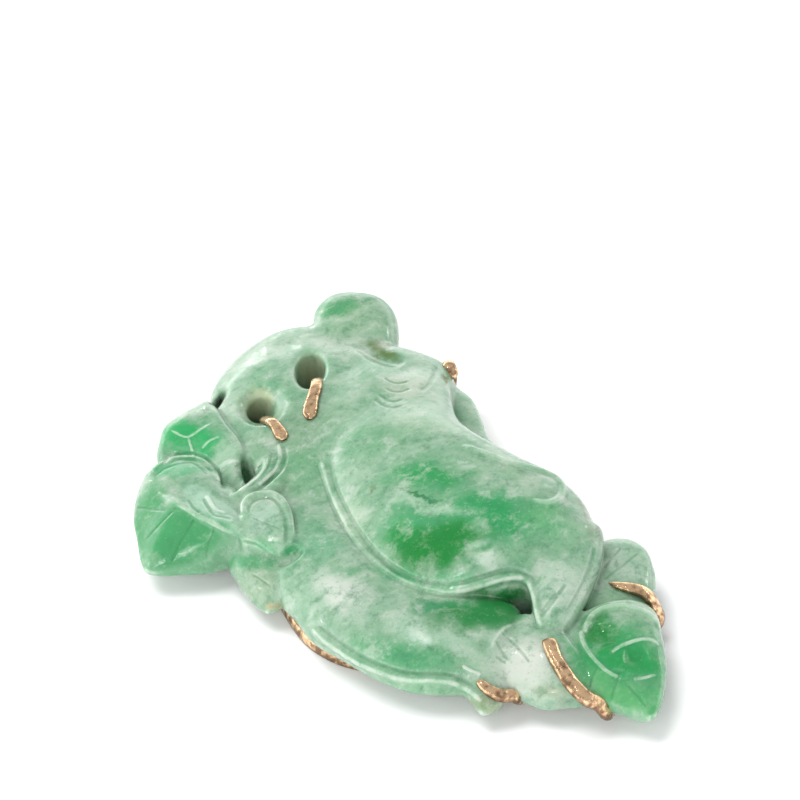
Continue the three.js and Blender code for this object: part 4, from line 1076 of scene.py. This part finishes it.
def jadeite(block):
    """Carved and polished jadeite, grey-green with vivid green and white clouds, and a waxy gloss.
    Its grains show as fine mottling, and light travels a millimetre or two into it."""
    material, tree, surface = bare_material("polished_jadeite")
    place = node(tree, "TexCoord", "Object")
    millimetres = node(tree, "VectorMath", "Vector", {0: place, "Scale": 1 / MM}, operation="SCALE")

    # Places pushed about by noise, so that a cloud's edge wanders and frays
    shifted = node(tree, "VectorMath", "Vector", {0: millimetres, 1: NOISE_STEP}, operation="ADD")
    wander = node(tree, "TexNoise", "Color", {
        "Vector": shifted, "Scale": 1 / WANDER_SIZE, "Detail": 5, "Roughness": 0.66})
    push = node(tree, "VectorMath", "Vector", {
        0: wander, 1: (WANDER_REACH,) * 3, 2: (-WANDER_REACH / 2,) * 3,
    }, operation="MULTIPLY_ADD")
    warped = node(tree, "VectorMath", "Vector", {0: millimetres, 1: push}, operation="ADD")

    # Drifts of white and of grey-green are drawn out along the stone's grain
    drawn = node(tree, "Mapping", "Vector", {
        "Vector": warped, "Rotation": DRIFT_TURN, "Scale": DRIFT_STRETCH})
    patterns = {}
    for name, (size, detail, roughness, seed) in PATTERNS.items():
        source = drawn if name == "drifts" else millimetres
        shifted = node(tree, "VectorMath", "Vector", {0: source, 1: seed * NOISE_STEP}, operation="ADD")
        patterns[name] = node(tree, "TexNoise", "Fac", {
            "Vector": shifted, "Scale": 1 / size, "Detail": detail, "Roughness": roughness})

    def lay_pattern(below, name, start, full, tint, strength):
        return lay(tree, below, patterns[name], start, full, tint, strength)

    colour = lay_pattern(stone(GROUND_COLOUR), *GROUND)
    for cloud in CLOUDS.values():
        colour = lay_cloud(tree, colour, warped, block, cloud)
    for layer in DRIFTS_AND_GRAINS:
        colour = lay_pattern(colour, *layer)
    # The strongest clouds lie over the grain as well, which shows through them only faintly
    for cloud in CLOUDS.values():
        if cloud[-1] == 1.0:
            colour = lay_cloud(tree, colour, warped, block, cloud, SHOW_THROUGH)
    colour = lay_pattern(colour, *LAST_GRAINS)

    # Painted highlight whitens the raised edges and painted shade darkens the grooves
    patterns["edges"] = node(tree, "Attribute", "Fac", attribute_name="edge_sharpness")
    start, full, left = EDGE_BREAKS
    for *layer, strength in EDGE_HIGHLIGHT_AND_GROOVE_SHADE:
        broken = node(tree, "MapRange", "Result", {
            "Value": patterns["clusters"], "From Min": start, "From Max": full,
            "To Min": left * strength, "To Max": strength,
        }, interpolation_type="SMOOTHSTEP")
        colour = lay_pattern(colour, *layer, broken)

    # The polish follows the grain: a very faint orange-peel and small pits
    gloss = node(tree, "MapRange", "Result", {
        "Value": patterns["clusters"], "From Min": 0.35, "From Max": 0.7, "To Min": 0.06, "To Max": 0.15,
    }, interpolation_type="SMOOTHSTEP")
    peel = node(tree, "Bump", "Normal", {
        "Height": patterns["clusters"], "Strength": 0.6, "Distance": 0.03 * MM})
    feed(tree, surface, {
        "Base Color": colour, "Roughness": gloss, "Normal": peel, "IOR": 1.66,
        "Subsurface Weight": 0.75, "Subsurface Radius": (0.7, 1.0, 0.8), "Subsurface Scale": 1.3 * MM,
    })
    return material


# The gold's patches of old polish and the dents that the file and wear left, in millimetres
TARNISH_SIZE = 0.5
DENT_SIZE = 0.6
DENT_DEPTH = 0.09
# Painted light and shade on the gold, by which way a face looks
TOP_PAINTED_LIGHT = -0.2                             # what is added to the old polish on faces that look up
SIDE_PAINTED_SHADE = 0.17                             # and on upright ones


def rose_gold():
    """Drawn and filed rose-yellow gold, brown where old polish lies in it.
    Painted light keeps the tops bright and painted shade turns the sides brown.
    """
    material, tree, surface = bare_material("filed_rose_gold")
    place = node(tree, "TexCoord", "Object")
    tarnish = node(tree, "TexNoise", "Fac", {
        "Vector": place, "Scale": 1 / (TARNISH_SIZE * MM), "Detail": 5.0})
    # Painted light and shade: faces that look up stay bright and upright sides turn brown, by which way
    # they face
    upward = node(tree, "SeparateXYZ", "Z", {0: node(tree, "TexCoord", "Normal")})
    painted_light_and_shade = node(tree, "Math", "Value", {
        0: upward, 1: TOP_PAINTED_LIGHT, 2: SIDE_PAINTED_SHADE}, operation="MULTIPLY_ADD")
    tarnish_and_painted_shade = node(tree, "Math", "Value", {0: tarnish, 1: painted_light_and_shade}, operation="ADD")
    amount = node(tree, "MapRange", "Result", {
        "Value": tarnish_and_painted_shade, "From Min": 0.42, "From Max": 0.74, "To Max": 0.85,
    }, interpolation_type="SMOOTHSTEP")
    colour = node(tree, "Mix", MIX_RESULT, {
        MIX_AMOUNT: amount, MIX_BELOW: linear("#f4cda2"), MIX_ABOVE: linear("#5a3d2b"),
    }, data_type="RGBA")
    gloss = node(tree, "MapRange", "Result", {
        "Value": tarnish, "From Min": 0.35, "From Max": 0.7, "To Min": 0.14, "To Max": 0.32})
    dents = node(tree, "TexNoise", "Fac", {
        "Vector": place, "Scale": 1 / (DENT_SIZE * MM), "Detail": 3.0})
    filed = node(tree, "Bump", "Normal", {
        "Height": dents, "Strength": 0.8, "Distance": DENT_DEPTH * MM})
    # A film of old polish scatters what the metal doesn't mirror
    feed(tree, surface, {
        "Base Color": colour, "Roughness": gloss, "Normal": filed, "Metallic": 0.85})
    return material


# Table, light and camera

TABLE_REACH = 900.0


def white_board():
    """White painted board: an even pale ground that keeps shadows soft and mirrors next to nothing."""
    material, tree, surface = bare_material("white_painted_board")
    feed(tree, surface, {"Base Color": linear("#f7f7f8"), "Roughness": 0.7})
    return material


def table_top():
    """The table that the pendant lies on."""
    corners = TABLE_REACH * np.array([(-1, -1, 0), (1, -1, 0), (1, 1, 0), (-1, 1, 0)])
    top = object_from("table_top", corners, np.array([(0, 1, 2, 3)]))
    top.data.materials.append(white_board())


# Lamps round the table, in metres and watts: place, width and height, power
SOFTBOXES = {
    "key_softbox": ((-0.24, 0.27, 0.72), (0.5, 0.5), 5.2),
    "fill_softbox": ((-0.42, -0.46, 0.36), (0.5, 0.5), 2.2),
}
STRIPS = {
    "strip_behind": ((-0.08, 0.60, 0.13), (0.40, 0.004), 0.18),
    "strip_left": ((-0.48, 0.12, 0.26), (0.10, 0.02), 0.10),
    "strip_right": ((0.48, 0.10, 0.30), (0.10, 0.02), 0.10),
    "strip_front": ((-0.28, -0.40, 0.42), (0.12, 0.03), 0.14),
    "strip_overhead": ((-0.04, 0.10, 0.62), (0.08, 0.005), 0.14),
}
LAMP_TARGET = Vector((0, 0, 0.004))
WALL_LIGHT = 2.0
CEILING_LIGHT = 0.42
WALL_TOP = (0.12, 0.6)                        # where the walls begin to dim and the ceiling begins


def lamp(name, place, size, power):
    """A rectangular lamp that points at the jade."""
    light = bpy.data.lights.new(name, "AREA")
    light.shape = "RECTANGLE"
    light.size, light.size_y = size
    light.energy = power
    made = bpy.data.objects.new(name, light)
    bpy.context.scene.collection.objects.link(made)
    made.location = Vector(place)
    made.rotation_euler = (LAMP_TARGET - made.location).to_track_quat("-Z", "Y").to_euler()
    return made


def white_room():
    """White walls round the table under a dim ceiling, so edges gleam and broad faces keep colour."""
    world = bpy.data.worlds.new("white_walls")
    world.use_nodes = True
    tree = world.node_tree
    height = node(tree, "SeparateXYZ", "Z", {0: node(tree, "TexCoord", "Generated")})
    light = node(tree, "MapRange", "Result", {
        "Value": height, "From Min": WALL_TOP[0], "From Max": WALL_TOP[1],
        "To Min": WALL_LIGHT, "To Max": CEILING_LIGHT,
    }, interpolation_type="SMOOTHSTEP")
    feed(tree, tree.nodes["Background"], {"Color": linear("#ffffff"), "Strength": light})
    bpy.context.scene.world = world


def studio():
    """Lights the table."""
    # The two large boxes are cross-polarised: they light the stone without a veil of glare
    for name, (place, size, power) in SOFTBOXES.items():
        lamp(name, place, size, power).visible_glossy = False
    # Narrow strips draw the bright lines along the carved edges and the wire
    for name, (place, size, power) in STRIPS.items():
        lamp(name, place, size, power)
    white_room()
    bpy.context.scene.view_settings.view_transform = "Standard"


SENSOR_WIDTH = 36.0


def photo_camera():
    """The camera, placed for the photograph's view."""
    camera = bpy.data.cameras.new("photo_camera")
    camera.sensor_width = SENSOR_WIDTH
    camera.lens = SENSOR_WIDTH * VIEW_DISTANCE / (PHOTO_SIZE * MM_PER_PIXEL)
    camera.clip_start = 0.01
    seat = bpy.data.objects.new("photo_camera", camera)
    bpy.context.scene.collection.objects.link(seat)
    turn = Matrix((VIEW_RIGHT, VIEW_UP, VIEW_BACK)).transposed()
    seat.matrix_world = Matrix.Translation(Vector(VIEW_POINT * MM)) @ turn.to_4x4()
    bpy.context.scene.camera = seat


block = carve_jade()
for radius, sink, pixels in ROLLS.values():
    add(block, spindle(block, radius, sink, pixels), ROLL_FILLET)
for radius, sink, pixels in TRENCHES.values():
    cut(block, spindle(block, radius, sink, pixels), TRENCH_FILLET * radius)
for width, depth, pixels in STROKES.values():
    stroke(block, width, depth, pixels)
notch_rim(block)
jade = jade_piece(block)
jade.data.materials.append(jadeite(block))
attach(jade, "root")
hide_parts("jade_carving")

gold = gold_piece(block)
gold.data.materials.append(rose_gold())
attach(gold, "root")
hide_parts("gold_mount")

table_top()
studio()
photo_camera()
